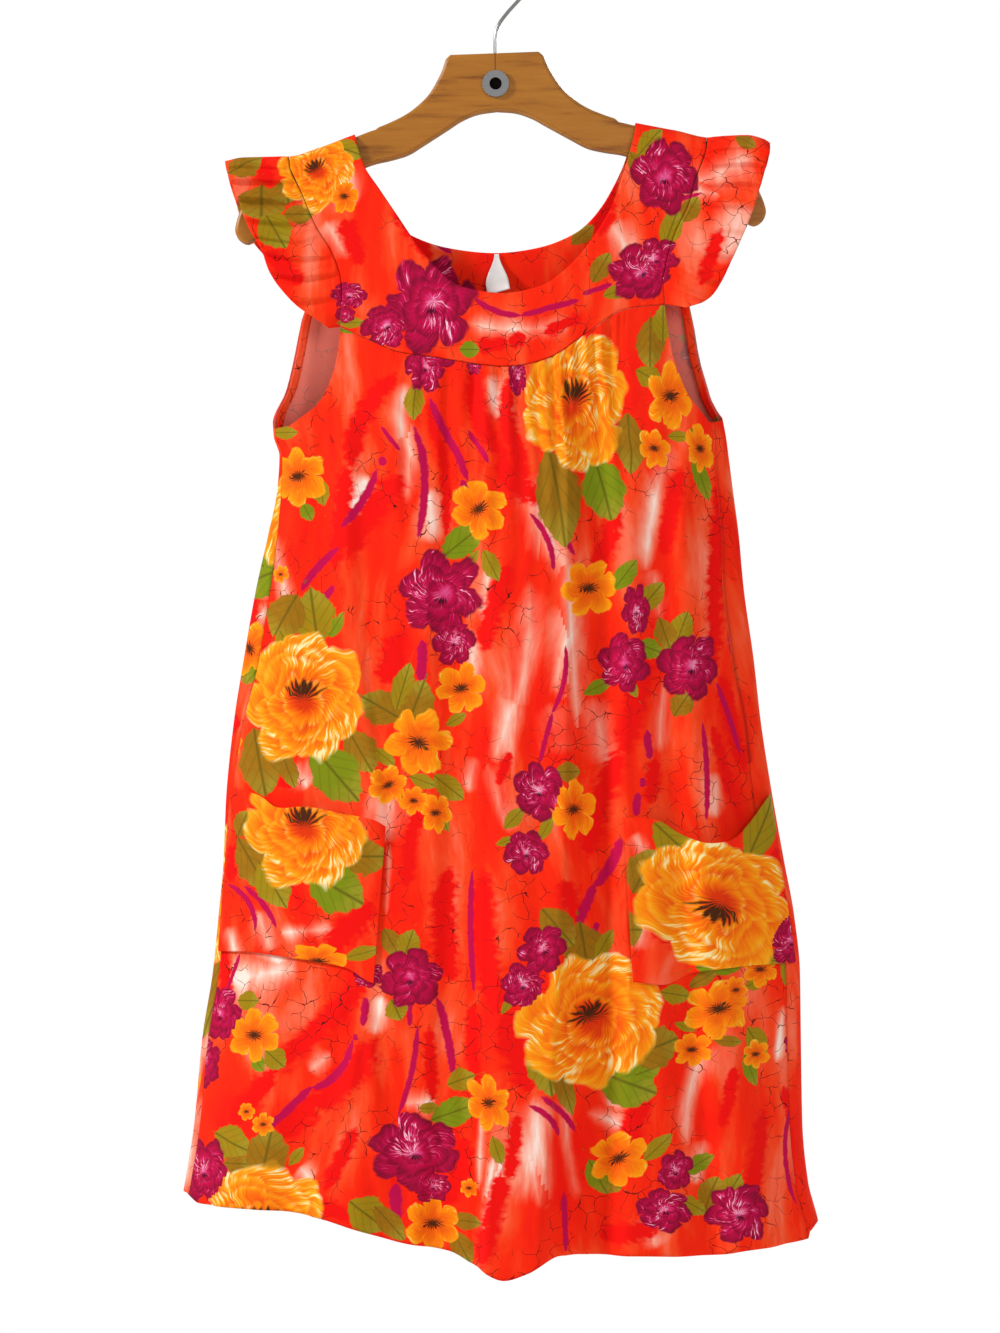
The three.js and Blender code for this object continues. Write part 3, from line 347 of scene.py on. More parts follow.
LEAVES_OVER = table("sheet x z wide tall turn green", {
    0: [
        (-29, -497, 17, 11, 40), (-147, -455, 10, 6, -80, 1), (-122, -319, 10, 3),
        (51, -461, 34, 16, -80, 2), (169, -415, 12, 5, -70), (152, -409, 8, 4, 0, 1),
        (139, -314, 13, 8, 90, 1), (-176, -559, 17, 15, -120, 2), (-176, -579, 10, 8, -60, 1),
        (-198, -681, 24, 17, -80, 2), (-134, -690, 24, 17, -50), (-78, -618, 17, 8, 75, 1),
        (-67, -631, 16, 13, 70, 2), (-61, -696, 10, 5, -20, 1), (-47, -723, 13, 5, -70),
        (-22, -514, 10, 4, 60, 1), (106, -525, 13, 7, 55), (140, -575, 13, 8, -70, 2),
        (127, -586, 10, 7, -20), (111, -618, 8, 4, -60, 1), (58, -688, 9, 7, 0, 2),
        (40, -734, 11, 4, 60, 1), (-73, -830, 10, 8, 70, 1), (-207, -879, 8, 7, 0, 1),
        (-197, -930, 7, 5, -50), (-35, -968, 17, 10, 20), (-189, -1004, 18, 15, 80, 2),
        (-166, -1006, 8, 4, 50, 1), (-88, -1059, 15, 8, -50, 2), (-29, -1079, 12, 8, -60, 2),
        (23, -888, 8, 4, 60, 1), (50, -816, 17, 12, -50, 2), (89, -831, 12, 5, 60, 1),
        (55, -947, 20, 7, -70, 2), (129, -915, 18, 15, 20, 2), (189, -843, 20, 11, 15),
        (246, -856, 13, 10, -50, 1), (170, -859, 11, 5, 35, 2), (215, -913, 13, 9, -50, 1),
        (189, -911, 10, 4, -5, 2), (131, -997, 13, 6, 42, 1), (84, -1022, 13, 8, -60),
        (176, -1037, 13, 9, 70, 2), (162, -1046, 11, 6, -30, 1), (249, -952, 8, 5, 60, 2),
        (189, -404, 7, 12, 0, 2), (-226, -602, 10, 15, 60, 2), (-228, -696, 13, 10, -40, 2),
    ],
    1: [
        (-211, -186, 13, 10, 30, 2), (-176, -209, 8, 13, -80, 2), (-166, -228, 10, 7, 0, 2),
        (128, -167, 13, 7, 50, 1), (146, -239, 14, 8, 70, 1), (87, -273, 12, 7, 60, 2),
        (-23, -342, 7, 6), (72, -243, 10, 6, 40, 2),
    ],
    2: [
        (-185, -782, 18, 13, -60, 1), (-110, -758, 17, 13, 0, 2), (-210, -732, 10, 8, 60, 2),
    ],
    3: [
        (144, -745, 18, 13, -45, 1), (120, -770, 17, 12, 60, 2), (223, -846, 15, 9, 0, 1),
        (109, -818, 8, 12, 0, 2),
    ],
})
# Brush strokes: half length, half width, turn and how far the middle bends out
REDS = table("sheet x z wide tall turn bend", {
    0: [
        (-106, -396, 48, 8, -120, -7), (-129, -476, 46, 8, -95), (-105, -479, 47, 12, -125, -4),
        (-47, -436, 61, 4, -85, 3), (-7, -391, 44, 8, -75, -8), (18, -446, 26, 8, -50, -4),
        (16, -406, 49, 7, -85, -5), (28, -457, 13, 7, -45), (148, -472, 41, 6, -100, -3),
        (183, -522, 90, 7, -90), (197, -648, 45, 7, -75, -2), (92, -497, 30, 8, -105),
        (-87, -594, 24, 10, -105), (-218, -643, 35, 8, -105, -2), (-179, -688, 17, 8, 115),
        (-68, -733, 19, 6, -115), (-1, -552, 40, 8, -105, -2), (115, -634, 44, 9, -105, -2),
        (88, -714, 50, 9, -110, -2), (186, -681, 33, 5, -75, 2), (128, -696, 20, 6, -100),
        (6, -685, 16, 4, -110), (-73, -760, 24, 6, -100), (-36, -815, 50, 10, -90, -9),
        (-149, -900, 58, 9, -135, 1), (-202, -959, 31, 9, -130), (-129, -937, 42, 12, -135, 7),
        (-165, -974, 22, 12, -135), (-55, -928, 32, 5, -85), (-2, -828, 63, 10, -85, -8),
        (17, -916, 37, 10, -70, -2), (113, -971, 26, 9, -105), (189, -957, 28, 5, -100),
        (61, -796, 21, 9, -70), (213, -1006, 39, 8, -100), (13, -995, 28, 6, -95),
        (-20, -912, 34, 6, -85), (-35, -1017, 32, 8, -105, 4), (-3, -1053, 44, 8, -105, -1),
        (-228, -850, 35, 7, -80), (243, -967, 18, 5, -70), (-128, -1007, 31, 6, -115),
        (108, -1066, 25, 8, -170), (-138, -1047, 24, 7, -20), (-220, -730, 22, 8, 65),
    ],
    1: [
        (-4, -338, 14, 6, 10), (17, -334, 8, 6, 30), (55, -321, 19, 5, 25), (-71, -242, 28, 7, -55),
        (-178, -273, 21, 7, -45), (91, -218, 30, 8, -100), (-199, -188, 19, 7, -55),
        (179, -264, 26, 6, -110), (-121, -251, 22, 8, -70),
    ],
    2: [(-121, -816, 29, 11, -135), (-219, -765, 17, 6, -105)],
    3: [(145, -824, 24, 8, -30), (234, -768, 17, 7, -70)],
})
PURPLES = table("sheet x z wide tall turn bend", {
    0: [
        (-40, -412, 38, 4, -70), (-27, -455, 10, 4, -80), (-64, -447, 48, 4, -90, 4),
        (-89, -411, 12, 2.5, -60), (-114, -461, 29, 4, -120, 3), (-95, -430, 4, 4, -80),
        (-15, -418, 16, 2.9, -65), (-147, -520, 24, 4, -130, -3), (37, -498, 27, 2.9, -65, 5),
        (53, -493, 21, 3, -50), (-62, -597, 19, 5, -90), (-140, -540, 8, 4, -125),
        (50, -612, 30, 2.5, -100, 5), (40, -660, 22, 2.5, -105), (125, -666, 13, 4, -85),
        (120, -697, 4, 3, -90), (115, -715, 10, 4, -100), (170, -688, 42, 3, -90, 3),
        (192, -644, 33, 3, -70, 2), (201, -586, 28, 2.9, -75, -5), (212, -620, 11, 2.9, -60),
        (91, -763, 25, 5, -120, 4), (74, -798, 19, 5, -115), (82, -818, 6, 3, -110),
        (-18, -819, 52, 3, -90, -4), (-137, -930, 28, 4, -130, 9), (-172, -967, 28, 4, -135),
        (-116, -907, 3, 2.5, -75), (-109, -886, 12, 4, -90), (-72, -888, 10, 2.5, -85),
        (-74, -934, 38, 2.9, -100, 4), (-44, -907, 35, 4, -75, 3), (-220, -857, 18, 2.1, -110),
        (38, -974, 19, 2.9, -45, 5), (50, -969, 23, 2.9, -45, 3), (246, -1010, 41, 3, -85, -7),
        (56, -1058, 25, 2.9, -90), (252, -945, 10, 3, -95), (-83, -1042, 16, 6, -90),
    ],
    1: [
        (1, -306, 22, 3, -20, -4), (44, -307, 27, 3, 15), (84, -291, 14, 2.5, 20),
        (-55, -247, 22, 2.9, -35), (150, -216, 23, 2.5, 15),
    ],
    2: [(-212, -802, 24, 3, -55, 9), (-196, -801, 23, 3, -50, 4)],
})
PALES = table("sheet x z wide tall turn bend", {
    0: [
        (-80, -395, 27, 6, -95), (-55, -476, 20, 10, -85), (-3, -378, 18, 8, -75),
        (-117, -461, 19, 8, -120), (137, -470, 48, 8, -100, -7), (37, -486, 45, 11, -60, 3),
        (-91, -726, 19, 13, -100), (-21, -690, 14, 7, -105), (-9, -540, 21, 4, -95),
        (-164, -693, 10, 10, -50), (20, -587, 51, 11, -95, 5), (6, -653, 28, 11, -110),
        # The long narrow stroke at x 63, z -583 is painted shade: the grey shaded strip beside the fold at x
        # 65, drawn as a pale stroke
        (47, -653, 21, 15, -80), (63, -583, 78, 6, -85, -1), (133, -543, 22, 9, -80),
        (136, -640, 29, 6, -95), (181, -708, 17, 8, -95), (204, -572, 49, 4, -80, -8),
        (0, -708, 27, 8, -75), (-190, -840, 20, 8, -35), (-195, -857, 27, 12, 10),
        (-98, -889, 14, 6, -95), (-64, -960, 11, 8, 5), (-90, -777, 27, 3, -95),
        (167, -956, 36, 9, -100, -9), (236, -907, 21, 4, -95), (59, -997, 41, 7, -80),
        (29, -1011, 31, 7, -80), (-6, -1022, 18, 4, -100), (168, -1010, 17, 8, -100),
        (250, -999, 32, 5, -90), (89, -974, 14, 7, -20), (-14, -998, 30, 3, -90),
        (-6, -1034, 33, 4, -105, 2), (-158, -1020, 7, 8, -45), (-239, -848, 21, 8, -95),
        (51, -600, 25, 8, -95), (-20, -604, 29, 7, -85), (124, -1066, 13, 8, -65),
        (-181, -520, 30, 8, -70), (-146, -928, 11, 7, 40), (53, -590, 36, 15, -90, 4),
        (32, -478, 34, 13, -80, 2), (36, -1000, 40, 18, -85, -3), (86, -655, 26, 13, -75),
        (-73, -430, 32, 8, -95), (100, -940, 24, 10, -100),
    ],
    1: [
        (19, -319, 38, 8, 0, -6), (-65, -230, 29, 5, -50), (188, -192, 25, 12, 25),
        (-134, -250, 16, 7, -60), (-142, -163, 11, 7, -35), (198, -246, 24, 17, -110),
        (168, -208, 18, 7, -10), (104, -250, 15, 11, -60), (-126, -205, 15, 14, -60),
    ],
    2: [
        (-192, -821, 16, 8, -70), (-219, -833, 14, 7, -70), (-157, -820, 20, 6, 5),
    ],
    3: [(118, -816, 18, 7, -100), (117, -749, 10, 7, -60)],
})

STROKE_BLUNTNESS = 6.0

# Petal rings from the outside in: count, reach, turn and depth of the notches
RINGS = {
    "rose": [(7, 1.0, 0.3, 0.16), (6, 0.8, 1.4, 0.2), (5, 0.6, 0.7, 0.2), (4, 0.4, 2.1, 0.25)],
    "bloom": [(6, 1.0, 0.0, 0.42)],
    "magenta": [(6, 1.0, 0.5, 0.3), (5, 0.7, 1.9, 0.28), (4, 0.4, 0.2, 0.3)],
}
# How sharp a petal's edge is, and how its tone rises from its foot to its tip
PETAL_EDGE = 16.0
PETAL_CURL = 2.0
FOOT = {"rose": -0.12, "bloom": -0.05, "magenta": 0.8}
RISE = {"rose": 0.88, "bloom": 0.72, "magenta": -0.72}
GLINT = {"rose": 1.0, "bloom": 0.6, "magenta": 0.7}
TONES = {
    "rose": [(0.0, "#E23400"), (0.28, "#F86200"), (0.52, "#FF8800"), (0.74, "#FFB01C"), (1.0, "#FFE9A8")],
    "bloom": [(0.0, "#F25A00"), (0.35, "#FF8200"), (0.65, "#FFA000"), (1.0, "#FFD65A")],
    "magenta": [(0.0, "#5E001E"), (0.32, "#9C0034"), (0.62, "#C80046"), (0.85, "#E4488A"), (1.0, "#FFD4E4")],
}
# Dark heart of a flower: its reach, how far it lies from the middle, and its two tones
HEARTS = {"rose": (0.17, 0.12), "bloom": (0.2, 0.0), "magenta": (0.1, -0.15)}
HEART_TONES = {
    "rose": ("#4A2006", "#B87A10"), "bloom": ("#4A2006", "#B87A10"), "magenta": ("#4E0020", "#D060A0"),
}
LEAF_TONES = [(0.0, "#7A8E08"), (0.35, "#98880A"), (0.65, "#AE7404"), (1.0, "#94680A")]
WASH_TONES = [(0.3, "#F80C00"), (0.48, "#FF2800"), (0.58, "#FF4A1E"), (0.68, "#FF7050"), (0.82, "#FF9A80")]
PALE_TONES = [(0.0, "#FF4424"), (0.25, "#FF7050"), (0.5, "#FF9478"), (0.75, "#FFBCA4"), (1.0, "#FFE2D4")]


def along(rows, key, column, at):
    """Smooth value of a column at a place along the key column, held past both ends"""
    keys, values = rows[key], rows[column]
    at = np.asarray(at, dtype=float)
    if keys[1] < keys[0]:
        keys, at = -keys, -at
    grade = np.diff(values) / np.diff(keys)
    slope = np.zeros_like(values)
    total = grade[:-1] + grade[1:]
    turning = grade[:-1] * grade[1:] <= 0
    slope[1:-1] = np.where(turning, 0, 2 * grade[:-1] * grade[1:] / np.where(turning, 1, total))
    at = np.clip(at, keys[0], keys[-1])
    i = np.clip(np.searchsorted(keys, at, side="right") - 1, 0, len(keys) - 2)
    step = keys[i + 1] - keys[i]
    t = (at - keys[i]) / step
    rise = (1 + 2 * t) * (1 - t) ** 2 * values[i] + t * t * (3 - 2 * t) * values[i + 1]
    return rise + step * (t * (1 - t) ** 2 * slope[i] - t * t * (1 - t) * slope[i + 1])


def run(values, at, corners=()):
    """Smooth run of a column by row number, with a break in direction at the corner rows"""
    at = np.asarray(at, dtype=float)
    last = len(values) - 1
    i = np.clip(np.floor(at).astype(int), 0, last - 1)
    t = at - i
    p1, p2 = values[i], values[i + 1]
    p0 = np.where(np.isin(i, (0, *corners)), 2 * p1 - p2, values[np.maximum(i - 1, 0)])
    ends = np.isin(i + 1, (last, *corners))
    p3 = np.where(ends, 2 * p2 - p1, values[np.minimum(i + 2, last)])
    bend = 2 * p0 - 5 * p1 + 4 * p2 - p3
    twist = 3 * p1 - p0 - 3 * p2 + p3
    return p1 + 0.5 * t * (p2 - p0 + t * (bend + t * twist))


def smooth(value):
    """0 below 0 and 1 above 1, with a soft rise between"""
    t = np.clip(value, 0, 1)
    return t * t * (3 - 2 * t)


def mix(a, b, share):
    """The value at a share of the way from one to the other"""
    return a + (b - a) * share


def section(z):
    """Middle, half width and the depths to the front and the back at a height"""
    sides = ("left", "right", "front", "back")
    left, right, front, back = (along(SECTIONS, "z", side, z) for side in sides)
    return (left + right) / 2, (right - left) / 2, front, back


def angle_of(x, z, face):
    """Angle round the section, 0 at the front, a quarter turn at the right side"""
    centre, half, _, _ = section(z)
    turn = np.arcsin(np.clip((x - centre) / half, -1, 1))
    behind = np.where(x >= centre, math.pi - turn, -math.pi - turn)
    return np.where(np.asarray(face) > 0, turn, behind)


def fold_rise(face, x, z):
    """Rise of the long folds over the smooth section"""
    rise = np.zeros_like(x)
    for i in range(len(FOLDS["face"])):
        fold = {name: column[i] for name, column in FOLDS.items()}
        floor = max(fold["end"], HEM_LEVEL)
        t = np.clip((z - fold["top"]) / (floor - fold["top"]), 0, 1)
        straight = (1 - t) ** 2 * fold["x_top"] + t * t * fold["x_end"]
        middle = 2 * fold["x_mid"] - (fold["x_top"] + fold["x_end"]) / 2
        centre = straight + 2 * t * (1 - t) * middle
        half = mix(fold["half_top"], fold["half_end"], t)
        flanks = smooth((x - centre + half) / fold["flank_left"])
        flanks = flanks * smooth((centre + half - x) / fold["flank_right"])
        ends = smooth((fold["top"] - z) / FOLD_FADE) * smooth((z - fold["end"]) / FOLD_FADE)
        rise += (face == fold["face"]) * mix(fold["rise_top"], fold["rise_end"], t) * flanks * ends
    return rise


def crease_rise(face, x, z):
    """Rise of the smaller creases"""
    rise = np.zeros_like(x)
    for f, x1, z1, x2, z2, half, height in zip(*CREASES.values()):
        span = np.array([x2 - x1, z2 - z1])
        length = np.hypot(*span)
        share = ((x - x1) * span[0] + (z - z1) * span[1]) / length ** 2
        away = ((x - x1) * span[1] - (z - z1) * span[0]) / length
        ends = smooth((share + CREASE_OVERRUN) / CREASE_FADE_IN)
        ends = ends * smooth((1 + CREASE_OVERRUN - share) / CREASE_FADE_OUT)
        rise += (face == f) * CREASE_HEIGHT * height * np.exp(-(away / half) ** 2) * ends
    return rise


def on_body(angle, z, lift):
    """Places on the body's cloth and the way out of it"""
    centre, half, front, back = section(z)
    depth = np.where(np.cos(angle) > 0, front, back)
    normal = np.stack([np.sin(angle) / half, -np.cos(angle) / depth, np.zeros_like(half)], -1)
    normal /= np.linalg.norm(normal, axis=-1, keepdims=True)
    x = centre + half * np.sin(angle)
    point = np.stack([x, -depth * np.cos(angle), z + 0 * x], -1)
    face = np.sign(np.cos(angle))
    folds = (fold_rise(face, x, z) + crease_rise(face, x, z)) * smooth(SIDE_CALM * np.abs(np.cos(angle)))
    return point + normal * (folds + lift)[..., None], normal


def drop_of(x, z):
    """Distance over the cloth from the shoulder line down to a height"""
    below = along(SHOULDER_LINE, "x", "z", x) - z
    rolled = SHOULDER_ROLL * np.arccos(np.clip(1 - np.maximum(0, below) / SHOULDER_ROLL, -1, 1))
    return np.where(below < SHOULDER_ROLL, rolled, below - SHOULDER_ROLL * (1 - math.pi / 2))


def on_shoulder(x, drop, lift):
    """Places on a yoke or sleeve: drop runs from the shoulder line, positive in front"""
    quarter = SHOULDER_ROLL * math.pi / 2
    lean = np.minimum(np.abs(drop), quarter) / SHOULDER_ROLL
    below = np.maximum(0, np.abs(drop) - quarter)
    z = along(SHOULDER_LINE, "x", "z", x) - SHOULDER_ROLL * (1 - np.cos(lean)) - below
    centre, half, front, back = section(z)
    away = (x - centre) / half
    depth = np.where(drop > 0, front, back) * np.sqrt(np.maximum(0, 1 - away ** 2))
    side = np.where(drop > 0, -1.0, 1.0)
    out = np.stack([away * depth / half, side, 0 * x], -1)
    out /= np.linalg.norm(out, axis=-1, keepdims=True)
    up = np.array([0.0, 0.0, 1.0])
    normal = out * np.sin(lean)[..., None] + up * np.cos(lean)[..., None]
    normal /= np.linalg.norm(normal, axis=-1, keepdims=True)
    point = np.stack([x, side * depth * np.sin(lean), z], -1)
    return point + normal * np.asarray(lift)[..., None], normal


def on_yoke(yoke, at, share):
    """Places on a yoke by row number and share from the neckline to the outer edge"""
    inner = yoke["face"] * drop_of(yoke["in_x"], yoke["in_z"])
    outer = yoke["face"] * drop_of(yoke["out_x"], yoke["out_z"])
    corners = yoke["corners"]
    x = mix(run(yoke["in_x"], at), run(yoke["out_x"], at, corners), share)
    drop = mix(run(inner, at), run(outer, at, corners), share)
    return x, drop


def unevenness(share, beats):
    """Makes some waves of a gather lower than others"""
    return 1 - UNEVENNESS + UNEVENNESS * np.sin(2 * math.pi * beats * share)


def seam_angle(side, z, face):
    """Angle of a side seam at a height, with its gap on the back panel's side"""
    _, half, front, _ = section(z)
    inset = along(SECTIONS, "z", "seam_left" if side < 0 else "seam_right", z)
    angle = np.arcsin((half - inset) / half)
    gap = 0 if face > 0 else SEAM_GAP / np.hypot(half * np.cos(angle), front * np.sin(angle))
    return side * (angle + gap)


def panel_angle(face, share, z):
    """Angle at a share of the way across a body panel"""
    left, right = seam_angle(-1, z, face), seam_angle(1, z, face)
    if face > 0:
        return np.arcsin(np.clip(mix(np.sin(left), np.sin(right), share), -1, 1))
    return mix(left, right - 2 * math.pi, share)


def panel_share(face, angle, z):
    """The share of the way across a body panel at which an angle lies"""
    left, right = seam_angle(-1, z, face), seam_angle(1, z, face)
    if face > 0:
        return (np.sin(angle) - np.sin(left)) / (np.sin(right) - np.sin(left))
    return (angle - left) / (right - 2 * math.pi - left)


# Body panels: the run of their top edges, counted in places from the left underarm
PANELS = {
    1: dict(yoke=FRONT_YOKE, armholes=FRONT_ARMHOLES, gathers=13, plain=(1.1, 0.9)),
    -1: dict(yoke=BACK_YOKE, armholes=BACK_ARMHOLES, gathers=11, plain=(0.9, 0.9)),
}
# Places and grid points on each stretch of a top edge, then rows and small puckers down the panel
ARMHOLE_PLACES = 8
PLAIN_PLACES = 4
PLACES_PER_GATHER = 4
POINTS_ON_TOP = (18, 8, 104, 8, 18)
BODY_ROWS = 300
LEVEL_CURVE = 1.25
PUCKERS = 0.55
PUCKER_DRIFT = 1.7


def marks_of(face):
    """Places where the armholes, the plain stretches and the gathers of a top edge begin and end"""
    gathered = PANELS[face]["gathers"] * PLACES_PER_GATHER
    return np.cumsum([0, ARMHOLE_PLACES, PLAIN_PLACES, gathered, PLAIN_PLACES, ARMHOLE_PLACES])


def panel_top(face, places):
    """Angle, height and gather wave along the top edge of a body panel"""
    panel, marks = PANELS[face], marks_of(face)
    first, last = panel["yoke"]["corners"]
    start, end = first + panel["plain"][0], last - panel["plain"][1]
    yoke_at = np.interp(places, marks[1:5], (first, start, end, last))
    x, drop = on_yoke(panel["yoke"], yoke_at, 1.0)
    seam, _ = on_shoulder(x, drop, np.zeros_like(x))
    z = seam[..., 2] - YOKE_SEAM_GAP
    angle = angle_of(seam[..., 0], z, face)
    for side, share in (("left", places / marks[1]), ("right", (marks[5] - places) / marks[1])):
        rows = panel["armholes"][side]
        angles = angle_of(rows["x"], rows["z"], rows["face"])
        at = np.clip(share, 0, 1) ** ARMHOLE_CROWDING * (len(angles) - 1)
        inside = share < 1
        angle = np.where(inside, run(angles, at), angle)
        z = np.where(inside, run(rows["z"], at), z)
    across = (places - marks[2]) / (marks[3] - marks[2])
    wave = np.sin(2 * math.pi * (places - marks[2]) / PLACES_PER_GATHER) * unevenness(across, PANEL_BEATS)
    gather = wave * smooth(6 * across) * smooth(6 - 6 * across)
    return angle, z, gather


def arc_length(angle, half, depth):
    """Distance round an ellipse from its front, or from its back for angles counted from there"""
    steps = np.linspace(0, 1, 17)
    turns = np.asarray(angle)[..., None] * steps
    speed = np.sqrt((half[..., None] * np.cos(turns)) ** 2 + (depth[..., None] * np.sin(turns)) ** 2)
    return (speed[..., 1:] + speed[..., :-1]).sum(-1) / 2 / 16 * angle


def flat_of_body(angle, z, face):
    """Place on the flat cloth: distance round the body from the middle of the panel, and height"""
    _, half, front, back = section(z)
    if face > 0:
        return np.stack([arc_length(angle, half, front), z + 0 * angle], -1)
    turned = -(angle - np.where(angle > 0, math.pi, -math.pi))
    return np.stack([arc_length(turned, half, back), z + 0 * angle], -1)


def body_panel(face):
    """Front or back panel from its top edge to the hem, on a grid that is finest in the gathers"""
    marks = marks_of(face)
    stretches = zip(marks, marks[1:], POINTS_ON_TOP)
    places = [np.linspace(start, end, points, endpoint=False) for start, end, points in stretches]
    places = np.concatenate([*places, [marks[-1]]])
    top_angle, top_z, gather = panel_top(face, places)
    u = places / marks[-1]
    at_seam = (places <= 0) | (places >= marks[-1])
    if face < 0:
        top_angle = top_angle - np.where(top_angle > 0, 2 * math.pi, 0)
    top_share = np.where(at_seam, u, panel_share(face, top_angle, top_z))
    low_share = u if face > 0 else u + BACK_SPREAD * np.sin(2 * math.pi * u)
    level_z = np.full_like(u, HEM_LEVEL)
    hem_angle = panel_angle(face, low_share, level_z)
    hem_angle = np.where(at_seam, panel_angle(1, low_share, level_z), hem_angle)
    hem_point, _ = on_body(hem_angle, level_z, np.zeros_like(u))
    hem_x = hem_point[..., 0]
    own = along(HEM, "x", "front" if face > 0 else "back", hem_x)
    hem_z = np.where(at_seam, along(HEM, "x", "front", hem_x), own)
    level = (np.linspace(0, 1, BODY_ROWS + 1) ** LEVEL_CURVE)[None, :]
    z = mix(top_z[:, None], hem_z[:, None], level)
    share = mix(top_share[:, None], low_share[:, None], 0.5 * (smooth(level) + level))
    drop = top_z[:, None] - z
    fade = (0.5 + 0.5 * smooth(drop / GATHER_START)) * np.exp(-drop / GATHER_LENGTH)
    pucker = np.sin(2 * math.pi * places * PUCKERS + PUCKER_DRIFT * np.sin(places)) * (gather != 0)
    lift = GATHER_HEIGHT * gather[:, None] * fade
    lift = lift + PUCKER_HEIGHT * pucker[:, None] * np.exp(-drop / PUCKER_LENGTH) * smooth(drop / 4)
    angle = panel_angle(face, share, z)
    point, normal = on_body(angle, z, lift)
    wrapped = angle + np.where(angle < -math.pi, 2 * math.pi, 0)
    return point, normal, flat_of_body(wrapped, z, face)


def grid(columns, rows):
    """Shares of the way across and down a piece, for the corners of a grid"""
    return np.linspace(0, 1, columns + 1)[:, None], np.linspace(0, 1, rows + 1)[None, :]


def yoke_panel(yoke, columns, rows):
    """U-shaped yoke that lies over the shoulders"""
    _, share = grid(columns, rows)
    at = np.linspace(0, len(yoke["face"]) - 1, columns + 1)[:, None]
    x, drop = on_yoke(yoke, at, share)
    lift = crumple(x, drop) * YOKE_CRUMPLE * np.sin(math.pi * share)
    point, normal = on_shoulder(x, drop, lift)
    return point, normal, flat_of_shoulder(x, drop)


def flat_of_shoulder(x, drop):
    """Place on the flat cloth of a yoke or sleeve"""
    return np.stack([x + 0 * drop, along(SHOULDER_LINE, "x", "z", x) - np.abs(drop)], -1)


def crumple(x, z):
    """Slow unevenness of cloth that has been folded and hung, about one millimetre high"""
    a = np.sin(x / 17 + 1.3 * np.sin(z / 43)) * np.sin(z / 23 + 0.8 * np.sin(x / 31))
    b = np.sin(x / 9.5 - z / 27) * np.sin(z / 13 + x / 41)
    return 0.7 * a + 0.3 * b


def sleeve_strip(side, columns, rows):
    """Gathered strip folded over the shoulder, from its seam out to its free edge"""
    sleeve = SLEEVES[side]
    away = math.copysign(1, sleeve["edge_x"][0])
    seam_x, seam_drop = [], []
    for face, row in zip(sleeve["face"], sleeve["row"].astype(int)):
        yoke = FRONT_YOKE if face > 0 else BACK_YOKE
        seam_x.append(yoke["out_x"][row] + away * SLEEVE_SEAM_GAP)
        seam_drop.append(face * drop_of(yoke["out_x"][row], yoke["out_z"][row]))
    edge_drop = sleeve["face"] * drop_of(sleeve["edge_x"], sleeve["edge_z"])
    u, v = grid(columns, rows)
    at = u * (len(seam_x) - 1)
    x = mix(run(np.array(seam_x), at), run(sleeve["edge_x"], at), v)
    drop = mix(run(np.array(seam_drop), at), run(edge_drop, at), v)
    near_fold = smooth(np.abs(drop) / SLEEVE_BEND)
    beat = 2 * math.pi * RUFFLES * u
    wave = np.sin(beat + RUFFLE_LEAN * np.sin(beat)) * unevenness(u, SLEEVE_BEATS) * near_fold
    ends = smooth(u * 12) * smooth((1 - u) * 12)
    fine = np.sin(2 * math.pi * RUFFLES * FINE_RUFFLES * u + 1.1) * np.exp(-v * 3.5) * smooth(v * 8)
    lift = RUFFLE_FLARE * v * near_fold + RUFFLE_HEIGHT * wave * ends * v ** 0.5 + FINE_RUFFLE_HEIGHT * fine
    point, normal = on_shoulder(x, drop, lift)
    return point, normal, flat_of_shoulder(x, drop)


def pocket_patch(side, columns, rows):
    """Patch pocket that lies on the front and stands open at its mouth"""
    edges = POCKETS[side]
    u, v = grid(columns, rows)
    at = u * (len(edges["top_x"]) - 1)
    x = mix(run(edges["top_x"], at), run(edges["low_x"], at), v)
    z = mix(run(edges["top_z"], at), run(edges["low_z"], at), v)
    hang = np.sin(math.pi * u) * (1 - v) ** POCKET_BULGE_CURVE
    angle = angle_of(x, z, 1)
    inside = smooth(8 * u) * smooth(8 - 8 * u) * smooth(8 - 8 * v)
    uneven = POCKET_CRUMPLE * crumple(x, z) * inside
    lift = POCKET_STANDOFF + POCKET_WALL + POCKET_BULGE[side] * hang + uneven
    point, normal = on_body(angle, z, lift)
    return point, normal, flat_of_body(angle, z, 1)


# Armhole bands: their gap behind the cloth, the extra gap at the sides, and where the strip lies
BAND_GAP = 1.1
BAND_SIDE_GAP = 1.2
BAND_END = 0.15
BAND_EDGE, BAND_DEPTH = 0.8, 7.0
NEARBY = 0.02


